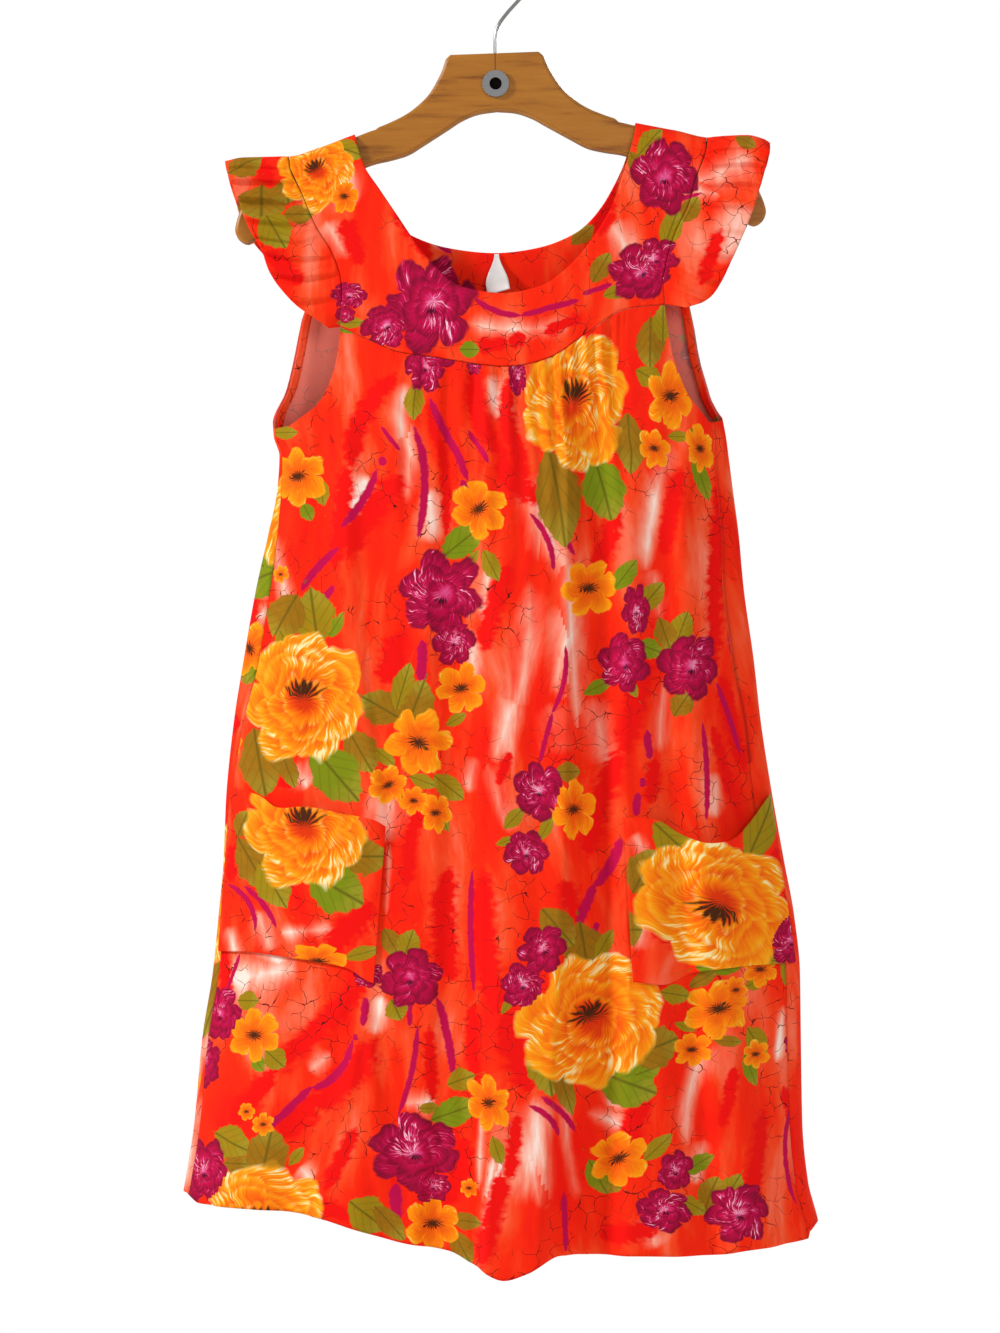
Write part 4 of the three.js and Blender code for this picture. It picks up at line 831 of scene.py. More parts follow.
def armhole_band(side, columns, rows):
    """Narrow band behind the edge of an armhole, from the front corner of the yoke to the back one"""
    front, back = FRONT_ARMHOLES[side], BACK_ARMHOLES[side]
    angles = [angle_of(edge["x"], edge["z"], edge["face"]) for edge in (front, back)]
    edge_angle = np.concatenate([angles[0][::-1], angles[1][1:]])
    edge_z = np.concatenate([front["z"][::-1], back["z"][1:]])
    _, share = grid(columns, rows)
    at = np.linspace(BAND_END, len(edge_z) - 1 - BAND_END, columns + 1)[:, None]

    def edge_at(at):
        return on_body(run(edge_angle, at), run(edge_z, at), np.zeros_like(at))

    point, normal = edge_at(at)
    inward = np.cross(edge_at(at + NEARBY)[0] - edge_at(at - NEARBY)[0], normal)
    inward /= np.linalg.norm(inward, axis=-1, keepdims=True)
    turn = -1 if side == "left" else 1
    place = point + inward * (turn * mix(BAND_EDGE, BAND_DEPTH, share))[..., None]
    centre, half, front_depth, back_depth = section(place[..., 2])
    depth = np.where(place[..., 1] < 0, front_depth, back_depth)
    angle = np.arctan2((place[..., 0] - centre) / half, -place[..., 1] / depth)
    side_gap = BAND_SIDE_GAP * smooth(1 - 3 * np.abs(np.cos(angle)))
    point, normal = on_body(angle, place[..., 2], -POCKET_WALL - BAND_GAP - side_gap)
    return point, normal, np.stack([place[..., 0], place[..., 2]], -1)


# Label inside the back neck: its sides, top and lower edge, and its gap in front of the back yoke
LABEL_SIDES = (-11, 8)
LABEL_TOP, LABEL_LOW = -253.5, -286
LABEL_GAP = 2.4
LABEL_STAND = 7
LABEL_SHELL = 0.5


def label_strip(columns, rows):
    """Folded label that is narrow where it is sewn in and stands out towards its free edge"""
    u, v = grid(columns, rows)
    x = mix(*LABEL_SIDES, u) * mix(0.2, 1, smooth(v * 1.3)) + 3 * v * v
    z = mix(LABEL_TOP, LABEL_LOW, v) + 5 * v * (u - 0.5)
    face = along(SECTIONS, "z", "back", z) - LABEL_GAP
    point = np.stack([x, face - LABEL_STAND * v * v * (0.35 + u), z], -1)
    normal = np.zeros_like(point)
    normal[..., 1] = 1
    return point, normal, np.stack([x, z], -1)


def grid_faces(columns, rows):
    """Corner numbers of the faces of a closed shell: outer grid, inner grid, then the rim"""
    across = rows + 1
    inner = (columns + 1) * across
    i, j = np.meshgrid(np.arange(columns), np.arange(rows), indexing="ij")
    a = (i * across + j).ravel()
    outer_faces = np.stack([a, a + across, a + across + 1, a + 1], -1)
    inner_faces = inner + outer_faces[:, ::-1]
    c, r = np.arange(columns), np.arange(rows)
    edges = np.concatenate([
        np.stack([(c + 1) * across, c * across], -1),
        np.stack([c * across + rows, (c + 1) * across + rows], -1),
        np.stack([r, r + 1], -1),
        np.stack([columns * across + r + 1, columns * across + r], -1),
    ])
    rim = np.concatenate([edges, edges[:, ::-1] + inner], -1)
    return np.concatenate([outer_faces, inner_faces, rim]), len(a)


def placed(name, data):
    """Puts an object with this data into the scene"""
    made = bpy.data.objects.new(name, data)
    bpy.context.collection.objects.link(made)
    return made


def solid(name, points, faces, finish):
    """A smooth object in one material, from points in millimetres"""
    mesh = bpy.data.meshes.new(name)
    mesh.from_pydata(np.asarray(points) * MM, [], [list(face) for face in faces])
    mesh.update()
    mesh.polygons.foreach_set("use_smooth", np.ones(len(mesh.polygons), dtype=bool))
    mesh.materials.append(finish)
    return placed(name, mesh)


def shell(name, surface, finish, thickness):
    """Closed thin shell from a grid of places, with the flat cloth's coordinates on its corners"""
    point, normal, flat = surface
    columns, rows = point.shape[0] - 1, point.shape[1] - 1
    faces, count = grid_faces(columns, rows)
    i, j = columns // 2, rows // 2
    turned = np.cross(point[i + 1, j] - point[i, j], point[i, j + 1] - point[i, j])
    if turned @ normal[i, j] < 0:
        faces = faces[:, ::-1]
    corners = np.concatenate([point.reshape(-1, 3), (point - normal * thickness).reshape(-1, 3)])
    piece = solid(name, corners, faces.tolist(), finish)
    flat_corners = np.concatenate([flat.reshape(-1, 2)] * 2)[faces]
    inner_side = np.zeros(len(faces), dtype=np.float32)
    inner_side[count:2 * count] = 1
    return piece, flat_corners, inner_side


def hex_colour(code):
    """An sRGB hex value as a linear colour"""
    parts = [int(code[i:i + 2], 16) / 255 for i in (1, 3, 5)]
    return [c / 12.92 if c <= 0.04045 else ((c + 0.055) / 1.055) ** 2.4 for c in parts] + [1.0]


def put(tree, kind, *inputs, out=0, stops=(), **settings):
    """Adds a node: inputs by their order, settings or other inputs by name, and gives one output"""
    kind, _, operation = kind.partition(" ")
    node = tree.nodes.new("ShaderNode" + kind)
    if operation:
        node.operation = operation.upper()
    named = {}
    for name, value in settings.items():
        if hasattr(node, name):
            setattr(node, name, value)
        else:
            named[name.replace("_", " ")] = value
    for place, value in [*enumerate(inputs), *named.items()]:
        if value is None:
            continue
        if isinstance(value, bpy.types.NodeSocket):
            tree.links.new(value, node.inputs[place])
        elif isinstance(value, str):
            node.inputs[place].default_value = hex_colour(value)
        else:
            node.inputs[place].default_value = value
    for k, (position, colour) in enumerate(stops):
        ramp = node.color_ramp.elements
        stop = ramp[k] if k < 2 else ramp.new(position)
        stop.position, stop.color = position, hex_colour(colour)
    return node.outputs[out] if node.outputs else node


def material(name):
    """A new material without any nodes"""
    made = bpy.data.materials.new(name)
    made.use_nodes = True
    made.node_tree.nodes.clear()
    return made


def excess(tree, high, low, slope):
    """How far one value is above another, made steeper by a slope and kept between 0 and 1"""
    return put(tree, "Math multiply", put(tree, "Math subtract", high, low), slope, use_clamp=True)


def frame_of(tree, layer):
    """A motif's own coordinates on the cloth: all in one, along it, across it, and its number"""
    place = put(tree, "Attribute", attribute_name=layer, out=1)
    return place, *put(tree, "SeparateXYZ", place).node.outputs


def petals(tree, below, polar, kind, ring, shared):
    """One ring of rounded petals painted over the colour below"""
    count, reach, turn, depth = ring
    radius, angle = polar
    own_kind, streak, glint = shared
    turned = put(tree, "Math multiply_add", angle, count / 2, turn)
    lobe = put(tree, "Math power", put(tree, "Math absolute", put(tree, "Math cosine", turned)), 0.5)
    edge = put(tree, "Math multiply_add", lobe, reach * depth, reach * (1 - depth))
    mask = excess(tree, edge, radius, PETAL_EDGE)
    share = put(tree, "Math divide", radius, edge)
    swell = put(tree, "Math power", share, PETAL_CURL)
    tone = put(tree, "Math multiply_add", swell, RISE[kind], FOOT[kind])
    tone = put(tree, "Math add", tone, streak)
    if kind != "magenta":
        glint = put(tree, "Math multiply", glint, put(tree, "Math power", share, 2.5))
    tone = put(tree, "Math multiply_add", glint, GLINT[kind], tone)
    painted = put(tree, "ValToRGB", tone, stops=TONES[kind])
    return put(tree, "MixRGB", put(tree, "Math multiply", mask, own_kind), below, painted)


def flowers(tree, below):
    """Roses, small blooms and magenta flowers, each of some rings of petals round a dark heart"""
    place, _, _, number = frame_of(tree, "flower")
    bent = put(tree, "TexNoise", place, Scale=1.9, Detail=2.0, out=1)
    bent = put(tree, "VectorMath multiply_add", bent, (0.46, 0.46, 0), place)
    bent = put(tree, "VectorMath subtract", bent, (0.23, 0.23, 0))
    bent = put(tree, "VectorMath multiply", bent, (1, 1, 0))
    radius = put(tree, "VectorMath length", bent, out=1)
    parts = put(tree, "SeparateXYZ", bent).node.outputs
    angle = put(tree, "Math arctan2", parts[1], parts[0])
    spin = put(tree, "Math multiply_add", number, 2.3, angle)
    swirl = put(tree, "Math multiply_add", radius, 1.1, spin)
    fan = put(tree, "CombineXYZ", put(tree, "Math multiply", swirl, 5.0), radius, number)
    streak = put(tree, "TexNoise", fan, Scale=2.4, Detail=3.0, Roughness=0.7)
    patch = put(tree, "TexNoise", place, Scale=1.4, Detail=2.0)
    glint = excess(tree, streak, 0.5, 5.0)
    glint = put(tree, "Math multiply", glint, excess(tree, patch, 0.42, 5.0))
    streak = put(tree, "Math multiply_add", streak, 0.75, -0.35)
    sort = put(tree, "Math modulo", number, MOTIF_STEP)
    ticks = put(tree, "Math sine", put(tree, "Math multiply", spin, 17.0))
    colour = below
    for k, kind in enumerate(RINGS):
        own_kind = put(tree, "Math compare", sort, k + 0.5, 0.45)
        for ring in RINGS[kind]:
            colour = petals(tree, colour, (radius, spin), kind, ring, (own_kind, streak, glint))
        reach, lift = HEARTS[kind]
        middle = put(tree, "VectorMath subtract", place, (0, lift, 0))
        middle = put(tree, "VectorMath multiply", middle, (0.7, 1.25, 0))
        near = put(tree, "VectorMath length", middle, out=1)
        dark = put(tree, "Math multiply_add", ticks, reach * 0.35, reach)
        dark = put(tree, "Math multiply_add", streak, reach * 3, dark)
        dark = excess(tree, dark, near, PETAL_EDGE)
        heart = put(tree, "MixRGB", excess(tree, streak, 0.1, 9.0), *HEART_TONES[kind])
        colour = put(tree, "MixRGB", put(tree, "Math multiply", dark, own_kind), colour, heart)
    return colour


def leaf(tree, below, layer):
    """A broad pointed leaf with a midrib and side veins, from olive to lime green"""
    place, u, v, number = frame_of(tree, layer)
    across = put(tree, "Math absolute", v)
    width = put(tree, "Math subtract", 1.0, put(tree, "Math multiply", u, u), use_clamp=True)
    width = put(tree, "Math power", width, 0.9)
    wobble = put(tree, "Math subtract", put(tree, "TexNoise", place, Scale=3.4, Detail=2.0), 0.5)
    inside = put(tree, "Math subtract", put(tree, "Math multiply_add", wobble, 0.5, width), across)
    mask = put(tree, "Math multiply", inside, 11.0, use_clamp=True)
    hue = put(tree, "Math fract", number)
    fine = put(tree, "TexNoise", place, Scale=5.0, Detail=3.0)
    hue = put(tree, "Math multiply_add", put(tree, "Math subtract", fine, 0.5), 0.5, hue)
    painted = put(tree, "ValToRGB", hue, stops=LEAF_TONES)
    light = excess(tree, put(tree, "Math multiply", u, fine), 0.08, 2.0)
    painted = put(tree, "MixRGB", light, painted, "#A8982A")
    slant = put(tree, "Math multiply_add", across, -0.9, u)
    veins = put(tree, "Math sine", put(tree, "Math multiply", slant, 15.0))
    veins = put(tree, "Math multiply", excess(tree, veins, 0.72, 3.0), 0.5)
    veins = put(tree, "Math maximum", veins, excess(tree, 0.09, across, 14.0))
    rim = excess(tree, 0.16, inside, 4.0)
    veins = put(tree, "Math maximum", veins, put(tree, "Math multiply", rim, 0.4))
    painted = put(tree, "MixRGB", put(tree, "Math multiply", veins, 0.75), painted, "#5C5208")
    return put(tree, "MixRGB", mask, below, painted)


def stroke(tree, layer, grain, ragged, soft):
    """Mask of a brush stroke that tapers to both ends with a ragged edge"""
    _, u, v, _ = frame_of(tree, layer)
    taper = put(tree, "Math power", put(tree, "Math absolute", u), STROKE_BLUNTNESS)
    taper = put(tree, "Math subtract", 1.0, taper)
    inside = put(tree, "Math subtract", taper, put(tree, "Math absolute", v))
    inside = put(tree, "Math multiply_add", grain, ragged, inside)
    return put(tree, "Math multiply", inside, soft, use_clamp=True)


def printed_cotton():
    """Plain-woven cotton, screen printed: matt, with a fine even weave, paler on its wrong side"""
    made = material("printed_cotton")
    tree = made.node_tree
    flat = put(tree, "Attribute", attribute_name="flat", out=1)
    # Flowing wash of orange, salmon and pale pink: its streaks are about 35 mm wide and 130 mm long
    bent = put(tree, "VectorMath multiply", flat, (0.012, 0.006, 1))
    bent = put(tree, "TexNoise", bent, Scale=1.0, Detail=1.0, out=1)
    flow = put(tree, "VectorMath multiply_add", bent, (60, 40, 0), flat)
    long_grain = put(tree, "VectorMath multiply", flow, (0.028, 0.0075, 1))
    long_grain = put(tree, "TexNoise", long_grain, Scale=1.0, Detail=5.0, Roughness=0.55)
    feather = put(tree, "VectorMath multiply", flow, (0.12, 0.2, 1))
    feather = put(tree, "TexNoise", feather, Scale=1.0, Detail=3.0)
    feather = put(tree, "Math subtract", feather, 0.5)
    colour = put(tree, "ValToRGB", long_grain, stops=WASH_TONES)
    pale = stroke(tree, "pale", put(tree, "Math subtract", long_grain, 0.48), 3.4, 0.75)
    colour = put(tree, "MixRGB", pale, colour, put(tree, "ValToRGB", pale, stops=PALE_TONES))
    red = stroke(tree, "red", feather, 1.5, 2.0)
    colour = put(tree, "MixRGB", red, colour, "#F40600")
    # Fine dark twigs in patches
    kink = put(tree, "TexNoise", flat, Scale=0.06, Detail=2.0, out=1)
    twig_place = put(tree, "VectorMath multiply_add", kink, (18, 18, 0), flat)
    net = dict(feature="DISTANCE_TO_EDGE", voronoi_dimensions="2D")
    twig = put(tree, "TexVoronoi", twig_place, Scale=0.07, **net)
    twig = excess(tree, 0.022, twig, 90.0)
    patch = put(tree, "TexNoise", flat, Scale=0.012, Detail=2.0)
    twig = put(tree, "Math multiply", twig, excess(tree, patch, 0.45, 14.0))
    gaps = put(tree, "SeparateXYZ", kink, out=2)
    twig = put(tree, "Math multiply", twig, excess(tree, gaps, 0.43, 14.0))
    colour = put(tree, "MixRGB", twig, colour, "#5A0A0C")
    purple = stroke(tree, "purple", feather, 0.9, 3.0)
    colour = put(tree, "MixRGB", purple, colour, "#C00048")
    for layer in ("leaf_under", "leaf_over"):
        colour = leaf(tree, colour, layer)
    colour = flowers(tree, colour)
    wrong = put(tree, "Attribute", attribute_name="wrong_side", out=2)
    colour = put(tree, "MixRGB", put(tree, "Math multiply", wrong, 0.45), colour, "#F2B8A6")
    # Threads drawn five times too coarse, so that they show
    warp = put(tree, "TexWave", flat, Scale=0.55, bands_direction="X")
    weft = put(tree, "TexWave", flat, Scale=0.55, bands_direction="Y")
    weave = put(tree, "Math multiply", warp, weft)
    bump = put(tree, "Bump", Strength=0.12, Distance=0.0003, Height=weave)
    look = dict(Roughness=0.9, Metallic=0.0, IOR=1.5, Specular_IOR_Level=0.2)
    put(tree, "OutputMaterial", put(tree, "BsdfPrincipled", colour, Normal=bump, **look))
    return made


# How far round a motif its frame reaches, in half sizes, and the place of a corner with no motif near
MOTIF_REACH = 1.7
FAR_OFF = 9.0
# Step between the numbers of two motifs, and how much of one step tells the shades of green apart
MOTIF_STEP = 3
GREEN_SPAN = 0.9


def local_frames(rows, flat):
    """Coordinates of every corner in the frame of the motif that lies nearest to its face"""
    turn = np.radians(rows["turn"])
    best = np.full(len(flat), MOTIF_REACH)
    chosen = np.full(len(flat), -1)
    middle = flat.mean(axis=1)

    def local(points, k):
        away = points - (rows["s"][k], rows["t"][k])
        u = (away[..., 0] * math.cos(turn[k]) + away[..., 1] * math.sin(turn[k])) / rows["wide"][k]
        v = away[..., 1] * math.cos(turn[k]) - away[..., 0] * math.sin(turn[k])
        if "bend" in rows:
            v = v - rows["bend"][k] * (1 - u * u)
        return u, v / rows["tall"][k]

    for k in range(len(turn)):
        u, v = local(middle, k)
        size = np.maximum(np.abs(u), np.abs(v)) if "bend" in rows else np.hypot(u, v)
        closer = size < best
        best[closer], chosen[closer] = size[closer], k
    frames = np.full(flat.shape[:2] + (3,), FAR_OFF)
    for k in np.unique(chosen[chosen >= 0]):
        faces = chosen == k
        u, v = local(flat[faces], k)
        own = rows["green"][k] / 2 * GREEN_SPAN if "green" in rows else rows["kind"][k] + 0.5
        own = own + k * MOTIF_STEP
        frames[faces] = np.stack([u, v, np.full_like(u, own)], -1)
    return frames


def motifs_of(rows, sheet, to_flat):
    """The motifs of one sheet, with their places on the flat cloth"""
    own = {key: column[rows["sheet"] == sheet] for key, column in rows.items()}
    own["s"], own["t"] = to_flat(own["x"], own["z"])
    return own


# The back's print, across and down: shift of the motifs, one repeat of the print, and its start
BACK_PRINT = {"s": (150, 480, -300), "t": (420, 830, -1130)}


def shifted(rows):
    """The same motifs moved along the cloth and brought back into one repeat of the print"""
    copies = dict(rows)
    for key, (shift, repeat, low) in BACK_PRINT.items():
        copies[key] = (rows[key] + shift - low) % repeat + low
    return copies


def front_flat(x, z):
    """Flat place of a motif on the front, which is unrolled round the body"""
    return flat_of_body(angle_of(x, z, 1), z, 1).T


def as_seen(x, z):
    """Flat place of a motif where the cloth is laid out as it is seen"""
    return np.stack([x, z])


# How far apart the sheets lie in the third direction of the print's noise, so that no two look the same
SHEET_GAP = 40
HIDDEN_SHEETS = 4


def dress(piece, flat, inner_side, sheet, to_flat, hidden=False, wrong=True):
    """Gives a piece of cloth its place in the print"""
    mesh = piece.data
    for layer, rows in PRINT_LAYERS.items():
        own = motifs_of(rows, sheet, to_flat)
        if hidden:
            own = shifted(own)
        frames = local_frames(own, flat)
        made = mesh.attributes.new(layer, "FLOAT_VECTOR", "CORNER")
        made.data.foreach_set("vector", frames.astype(np.float32).ravel())
    depth = np.full(flat.shape[:2] + (1,), SHEET_GAP * (sheet + HIDDEN_SHEETS * hidden))
    made = mesh.attributes.new("flat", "FLOAT_VECTOR", "CORNER")
    made.data.foreach_set("vector", np.concatenate([flat, depth], -1).astype(np.float32).ravel())
    made = mesh.attributes.new("wrong_side", "FLOAT", "FACE")
    made.data.foreach_set("value", inner_side * wrong)


for kind, rows in enumerate((ROSES, BLOOMS, MAGENTAS, REDS, PURPLES, PALES)):
    rows["kind"] = np.full(len(rows["x"]), kind % MOTIF_STEP)
# Paint that runs out beyond the measured sizes: how much wider and taller each motif is drawn
for rows, wider, taller in (
        (PALES, 1.2, 1.7), (REDS, 1, 1.4), (ROSES, 1.16, 1.16), (MAGENTAS, 1.12, 1.12),
        (LEAVES_UNDER, 1.25, 1.25), (LEAVES_OVER, 1.25, 1.25)):
    rows["wide"] *= wider
    rows["tall"] *= taller
FLOWERS = {key: np.concatenate([rows[key] for rows in (ROSES, BLOOMS, MAGENTAS)]) for key in ROSES}
PRINT_LAYERS = {
    "flower": FLOWERS, "leaf_under": LEAVES_UNDER, "leaf_over": LEAVES_OVER,
    "red": REDS, "purple": PURPLES, "pale": PALES,
}


# Joint of the board's two halves above the ring, in metres
JOINT_X = -0.0015
JOINT_HALF_WIDTH = 0.0005
JOINT_LOW_END = -0.108
JOINT_SHARPNESS = 3000.0


def wood():
    """Lacquered beech: warm brown with darker flecked grain along the board and a soft gloss"""
    made = material("lacquered_beech")
    tree = made.node_tree
    place = put(tree, "TexCoord", out=3)
    stretched = put(tree, "Mapping", place, Scale=(1.0, 1.0, 9.0))
    grain = put(tree, "TexNoise", stretched, Scale=14.0, Detail=6.0, Roughness=0.62)
    colour = put(tree, "ValToRGB", grain, stops=[(0.3, "#7C420A"), (0.46, "#A86818"), (0.8, "#B87824")])
    parts = put(tree, "SeparateXYZ", place).node.outputs
    beside = put(tree, "Math absolute", put(tree, "Math add", parts[0], -JOINT_X))
    joint = excess(tree, JOINT_HALF_WIDTH, beside, JOINT_SHARPNESS)
    above = excess(tree, parts[2], JOINT_LOW_END, JOINT_SHARPNESS)
    colour = put(tree, "MixRGB", put(tree, "Math multiply", joint, above), colour, "#4A2608")
    gloss = put(tree, "BsdfPrincipled", colour, Roughness=0.38, Metallic=0.0, IOR=1.5)
    put(tree, "OutputMaterial", gloss)
    return made


def metal(name, colour, roughness):
    """Bare or coated metal with a fine unevenness that softens its reflections"""
    made = material(name)
    tree = made.node_tree
    fine = put(tree, "TexNoise", put(tree, "TexCoord", out=3), Scale=900.0)
    bump = put(tree, "Bump", Strength=0.15, Distance=0.0002, Height=fine)
    look = put(tree, "BsdfPrincipled", colour, Metallic=1.0, Roughness=roughness, Normal=bump)
    put(tree, "OutputMaterial", look)
    return made


def satin_label():
    """Woven polyester satin: greyish white with fine ribs and a soft sheen"""
    made = material("satin_label")
    tree = made.node_tree
    ribs = put(tree, "TexWave", put(tree, "TexCoord", out=3), Scale=900.0, bands_direction="Z")
    bump = put(tree, "Bump", Strength=0.2, Distance=0.0002, Height=ribs)
    tone = put(tree, "TexNoise", put(tree, "TexCoord", out=3), Scale=60.0)
    colour = put(tree, "ValToRGB", tone, stops=[(0.3, "#D9D5D2"), (0.7, "#F1EEEA")])
    put(tree, "OutputMaterial", put(tree, "BsdfPrincipled", colour, Roughness=0.45, Normal=bump))
    return made


CLOTH = printed_cotton()
LABEL_CLOTH = satin_label()
WOOD = wood()
WIRE = metal("bright_steel_wire", "#A8A8A6", 0.28)
RING = metal("stamped_aluminium", "#B4B4B4", 0.35)
RIVET = metal("blackened_rivet", "#14110F", 0.5)


def spaced(points, step):
    """A smooth curve through the points with places a step apart"""
    points = np.asarray(points, dtype=float)
    at = np.linspace(0, len(points) - 1, 40 * len(points))
    curve = np.stack([run(points[:, k], at) for k in range(points.shape[1])], -1)
    length = np.concatenate([[0], np.cumsum(np.linalg.norm(np.diff(curve, axis=0), axis=1))])
    even = np.linspace(0, length[-1], max(2, round(length[-1] / step)) + 1)
    return np.stack([np.interp(even, length, curve[:, k]) for k in range(points.shape[1])], -1)


def hanger_board():
    """Wooden board with a rounded edge, bent like the shoulders, under the cloth of the yokes"""
    half = np.array(BOARD_HALF, dtype=float)
    right = np.concatenate([half[:1], spaced(half[1:], BOARD_STEP)])
    outline = np.concatenate([right, right[:-1][::-1] * (-1, 1)])
    turn = np.array([[math.cos(TILT), math.sin(TILT)], [-math.sin(TILT), math.cos(TILT)]])
    outline = outline @ turn + RING_CENTRE
    roof = along(SHOULDER_LINE, "x", "z", outline[:, 0]) - POCKET_WALL - SEAT_GAP
    seated = np.abs(outline[:, 0]) > SEAT_START
    outline[:, 1] = np.where(seated, np.minimum(outline[:, 1], roof), outline[:, 1])
    tangent = np.roll(outline, -1, 0) - np.roll(outline, 1, 0)
    inward = np.stack([tangent[:, 1], -tangent[:, 0]], -1)
    inward /= np.linalg.norm(inward, axis=1, keepdims=True)
    rings, count, depth = [], len(outline), BOARD_THICKNESS / 2
    for turned in np.linspace(0, math.pi, BOARD_RINGS):
        ring = outline + inward * BOARD_ROUNDING * (1 - math.sin(turned))
        side = np.sign(round(math.cos(turned), 6))
        y = -(depth - BOARD_ROUNDING) * side - BOARD_ROUNDING * math.cos(turned)
        rings.append(np.stack([ring[:, 0], np.full(count, y), ring[:, 1]], -1))
    faces = []
    for k in range(len(rings) - 1):
        for i in range(count):
            a, b = k * count + i, k * count + (i + 1) % count
            faces.append((a + count, b + count, b, a))
    faces.append(range(count - 1, -1, -1))
    faces.append(range((len(rings) - 1) * count, len(rings) * count))
    board = solid("beech_hanger", np.concatenate(rings), faces, WOOD)
    for flat_side in board.data.polygons[-2:]:
        flat_side.use_smooth = False
    return board


def hook():
    """Round wire from the board up into a plain hook"""
    stem_x, board_top = RING_CENTRE[0], RING_CENTRE[1] + BOARD_HALF[0][1]
    points = [
        (stem_x, board_top - 6), (stem_x, board_top - 3), (stem_x - 0.4, board_top + 7),
        (stem_x, -70), (1.6, -61.5), (8.6, -52),
    ]
    centre_z = WIRE_RADIUS - HOOK_RADIUS
    for angle in np.radians(np.linspace(HOOK_FROM, HOOK_TO, HOOK_POINTS)):
        x, z = HOOK_RADIUS * math.cos(angle), HOOK_RADIUS * math.sin(angle)
        points.append((HOOK_CENTRE_X + x, centre_z + z))
    path = spaced(points, WIRE_STEP)
    tangent = np.gradient(path, axis=0)
    tangent /= np.linalg.norm(tangent, axis=1, keepdims=True)
    side = np.stack([-tangent[:, 1], tangent[:, 0]], -1)
    rings = []
    for i in range(len(path)):
        for turned in np.linspace(0, 2 * math.pi, WIRE_SIDES, endpoint=False):
            x, z = path[i] + side[i] * WIRE_RADIUS * math.cos(turned)
            rings.append((x, WIRE_RADIUS * math.sin(turned), z))
    faces = []
    for i in range(len(path) - 1):
        for k in range(WIRE_SIDES):
            a, b = i * WIRE_SIDES + k, i * WIRE_SIDES + (k + 1) % WIRE_SIDES
            faces.append((a, b, b + WIRE_SIDES, a + WIRE_SIDES))
    last = len(rings) - 1
    faces += [range(WIRE_SIDES), range(last, last - WIRE_SIDES, -1)]
    return solid("wire_hook", rings, faces, WIRE)


SHEET_OF = {
    "front_yoke": 1, "back_yoke": 1, "flutter_sleeve_left": 1, "flutter_sleeve_right": 1,
    "pocket_left": 2, "pocket_right": 3,
}
# Columns and rows of the grids that the smaller pieces are built on
YOKE_GRID = (300, 40)
SLEEVE_GRID = (240, 30)
POCKET_GRID = (90, 90)
BAND_GRID = (160, 4)
LABEL_GRID = (12, 20)
surfaces = {
    "front_body": body_panel(1),
    "back_body": body_panel(-1),
    "front_yoke": yoke_panel(FRONT_YOKE, *YOKE_GRID),
    "back_yoke": yoke_panel(BACK_YOKE, *YOKE_GRID),
    "flutter_sleeve_left": sleeve_strip("left", *SLEEVE_GRID),
    "flutter_sleeve_right": sleeve_strip("right", *SLEEVE_GRID),
    "pocket_left": pocket_patch("left", *POCKET_GRID),
    "pocket_right": pocket_patch("right", *POCKET_GRID),
    "armhole_band_left": armhole_band("left", *BAND_GRID),
    "armhole_band_right": armhole_band("right", *BAND_GRID),
}
for name, surface in surfaces.items():
    thin = BAND_SHELL if "band" in name else SHELL
    piece, flat_corners, inner_side = shell(name + "_cloth", surface, CLOTH, thin)
    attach(piece, "root")
    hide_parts(name)
    sheet = SHEET_OF.get(name, 0)
    to_flat = front_flat if name == "front_body" or "pocket" in name else as_seen
    dress(piece, flat_corners, inner_side, sheet, to_flat, name == "back_body", "body" in name)

label, _, _ = shell("label_cloth", label_strip(*LABEL_GRID), LABEL_CLOTH, LABEL_SHELL)
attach(label, "root")
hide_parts("care_label")

board = hanger_board()
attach(board, "root")
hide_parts("hanger_board")
wire = hook()
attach(wire, "root")
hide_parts("hook_wire")
for node_name, finish in (("hanger_ring", RING), ("hanger_rivet", RIVET)):
    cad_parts[node_name].data.materials.clear()
    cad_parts[node_name].data.materials.append(finish)

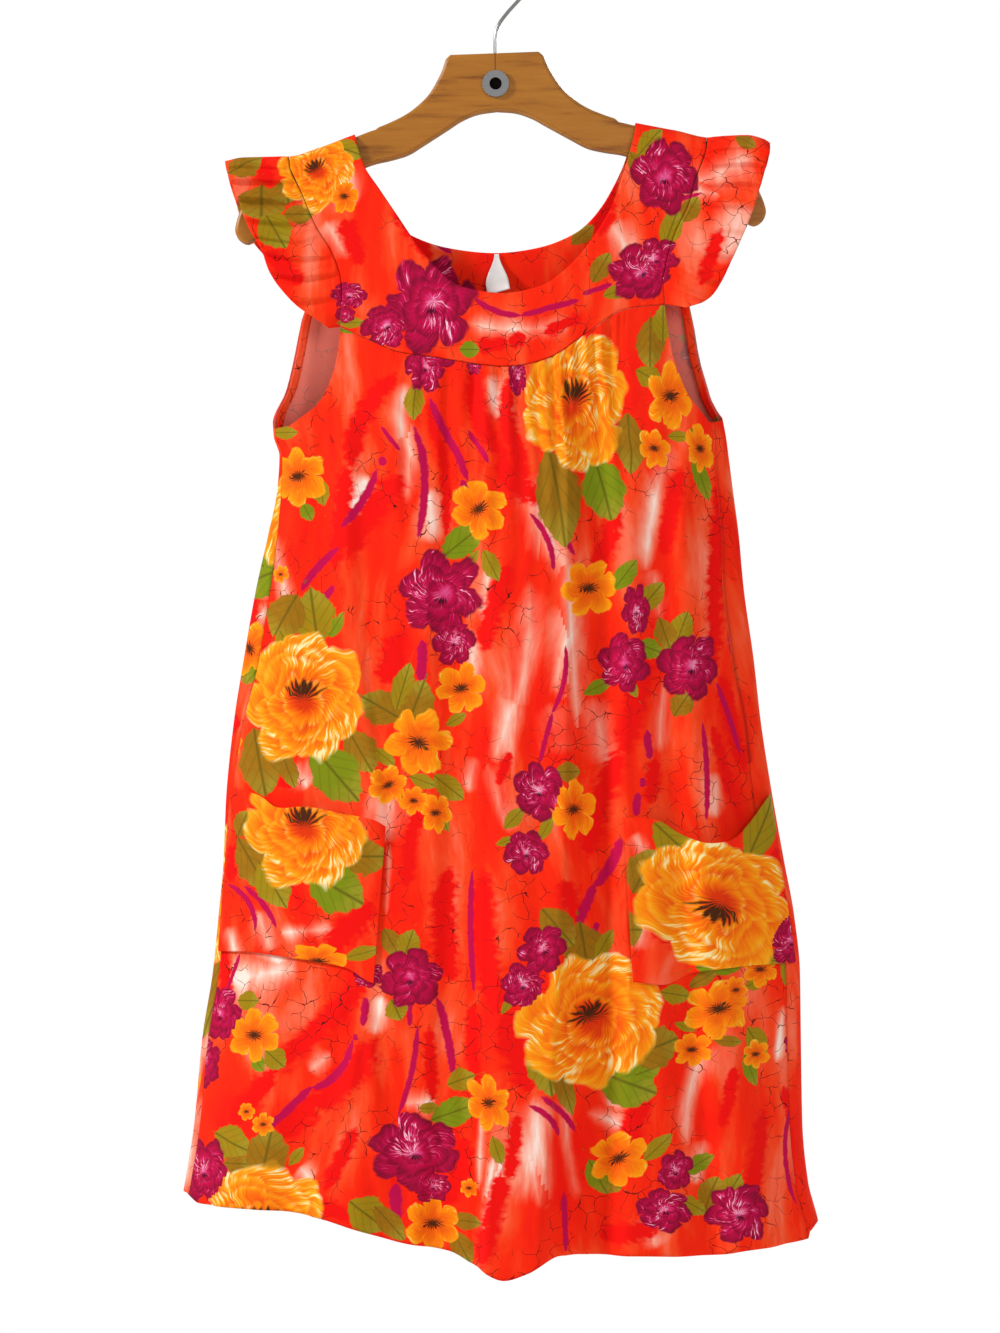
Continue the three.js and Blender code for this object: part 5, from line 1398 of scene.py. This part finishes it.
# Pale floor under the dress, in metres
FLOOR_HEIGHT = -1.32
FLOOR_SIDE = 2
FLOOR_BACK = 0.8
floor_mesh = bpy.data.meshes.new("pale_floor")
floor_mesh.from_pydata([
    (-FLOOR_SIDE, -FLOOR_SIDE, FLOOR_HEIGHT), (FLOOR_SIDE, -FLOOR_SIDE, FLOOR_HEIGHT),
    (FLOOR_SIDE, FLOOR_BACK, FLOOR_HEIGHT), (-FLOOR_SIDE, FLOOR_BACK, FLOOR_HEIGHT),
], [], [(0, 1, 2, 3)])
floor_finish = material("pale_paper")
floor_tree = floor_finish.node_tree
put(floor_tree, "OutputMaterial", put(floor_tree, "BsdfPrincipled", "#F4F3F1", Roughness=0.9))
floor_mesh.materials.append(floor_finish)
floor = placed("pale_floor", floor_mesh)

# Soft studio light: an even white room, a lamp from the left, a broad one from the right and one behind
ROOM_LIGHT = 0.34
world = bpy.data.worlds.new("studio")
bpy.context.scene.world = world
world.use_nodes = True
world.node_tree.nodes.clear()
seen = put(world.node_tree, "LightPath", out=0)
strength = put(world.node_tree, "Math multiply_add", seen, 1 - ROOM_LIGHT, ROOM_LIGHT)
put(world.node_tree, "OutputWorld", put(world.node_tree, "Background", "#FFFFFF", strength))


def lamp(name, place, target, size, watts):
    """A square lamp that faces its target"""
    light = bpy.data.lights.new(name, "AREA")
    light.size = size
    light.energy = watts
    stand = placed(name, light)
    stand.location = place
    aim = np.array(target) - np.array(place)
    tip = math.acos(-aim[2] / np.linalg.norm(aim))
    stand.rotation_euler = (tip, 0, math.atan2(aim[1], aim[0]) - math.pi / 2)


lamp("key", (-2.5, -1.1, 0.9), (0, 0, -0.3), 0.5, 74)
lamp("fill", (1.8, -2.6, 0.6), (0, 0, -0.4), 1.6, 30)
lamp("back", (1.2, 2.6, 0.6), (0, 0, -0.5), 1.2, 60)

# Camera at the height of the middle of the picture, square to the front
CAMERA_DISTANCE = 3.5
PICTURE_MIDDLE_X, PICTURE_MIDDLE_Z = 2.5, -601
PICTURE_PIXELS = 1333
MM_PER_PIXEL = 0.84
SENSOR_HEIGHT = 36
camera_data = bpy.data.cameras.new("camera")
camera_data.sensor_fit = "VERTICAL"
camera_data.sensor_height = SENSOR_HEIGHT
camera_data.lens = SENSOR_HEIGHT * CAMERA_DISTANCE / (PICTURE_PIXELS * MM_PER_PIXEL * MM)
camera = placed("camera", camera_data)
camera.location = (PICTURE_MIDDLE_X * MM, -CAMERA_DISTANCE, PICTURE_MIDDLE_Z * MM)
camera.rotation_euler = (math.pi / 2, 0, 0)
bpy.context.scene.camera = camera
bpy.context.scene.view_settings.view_transform = "Standard"
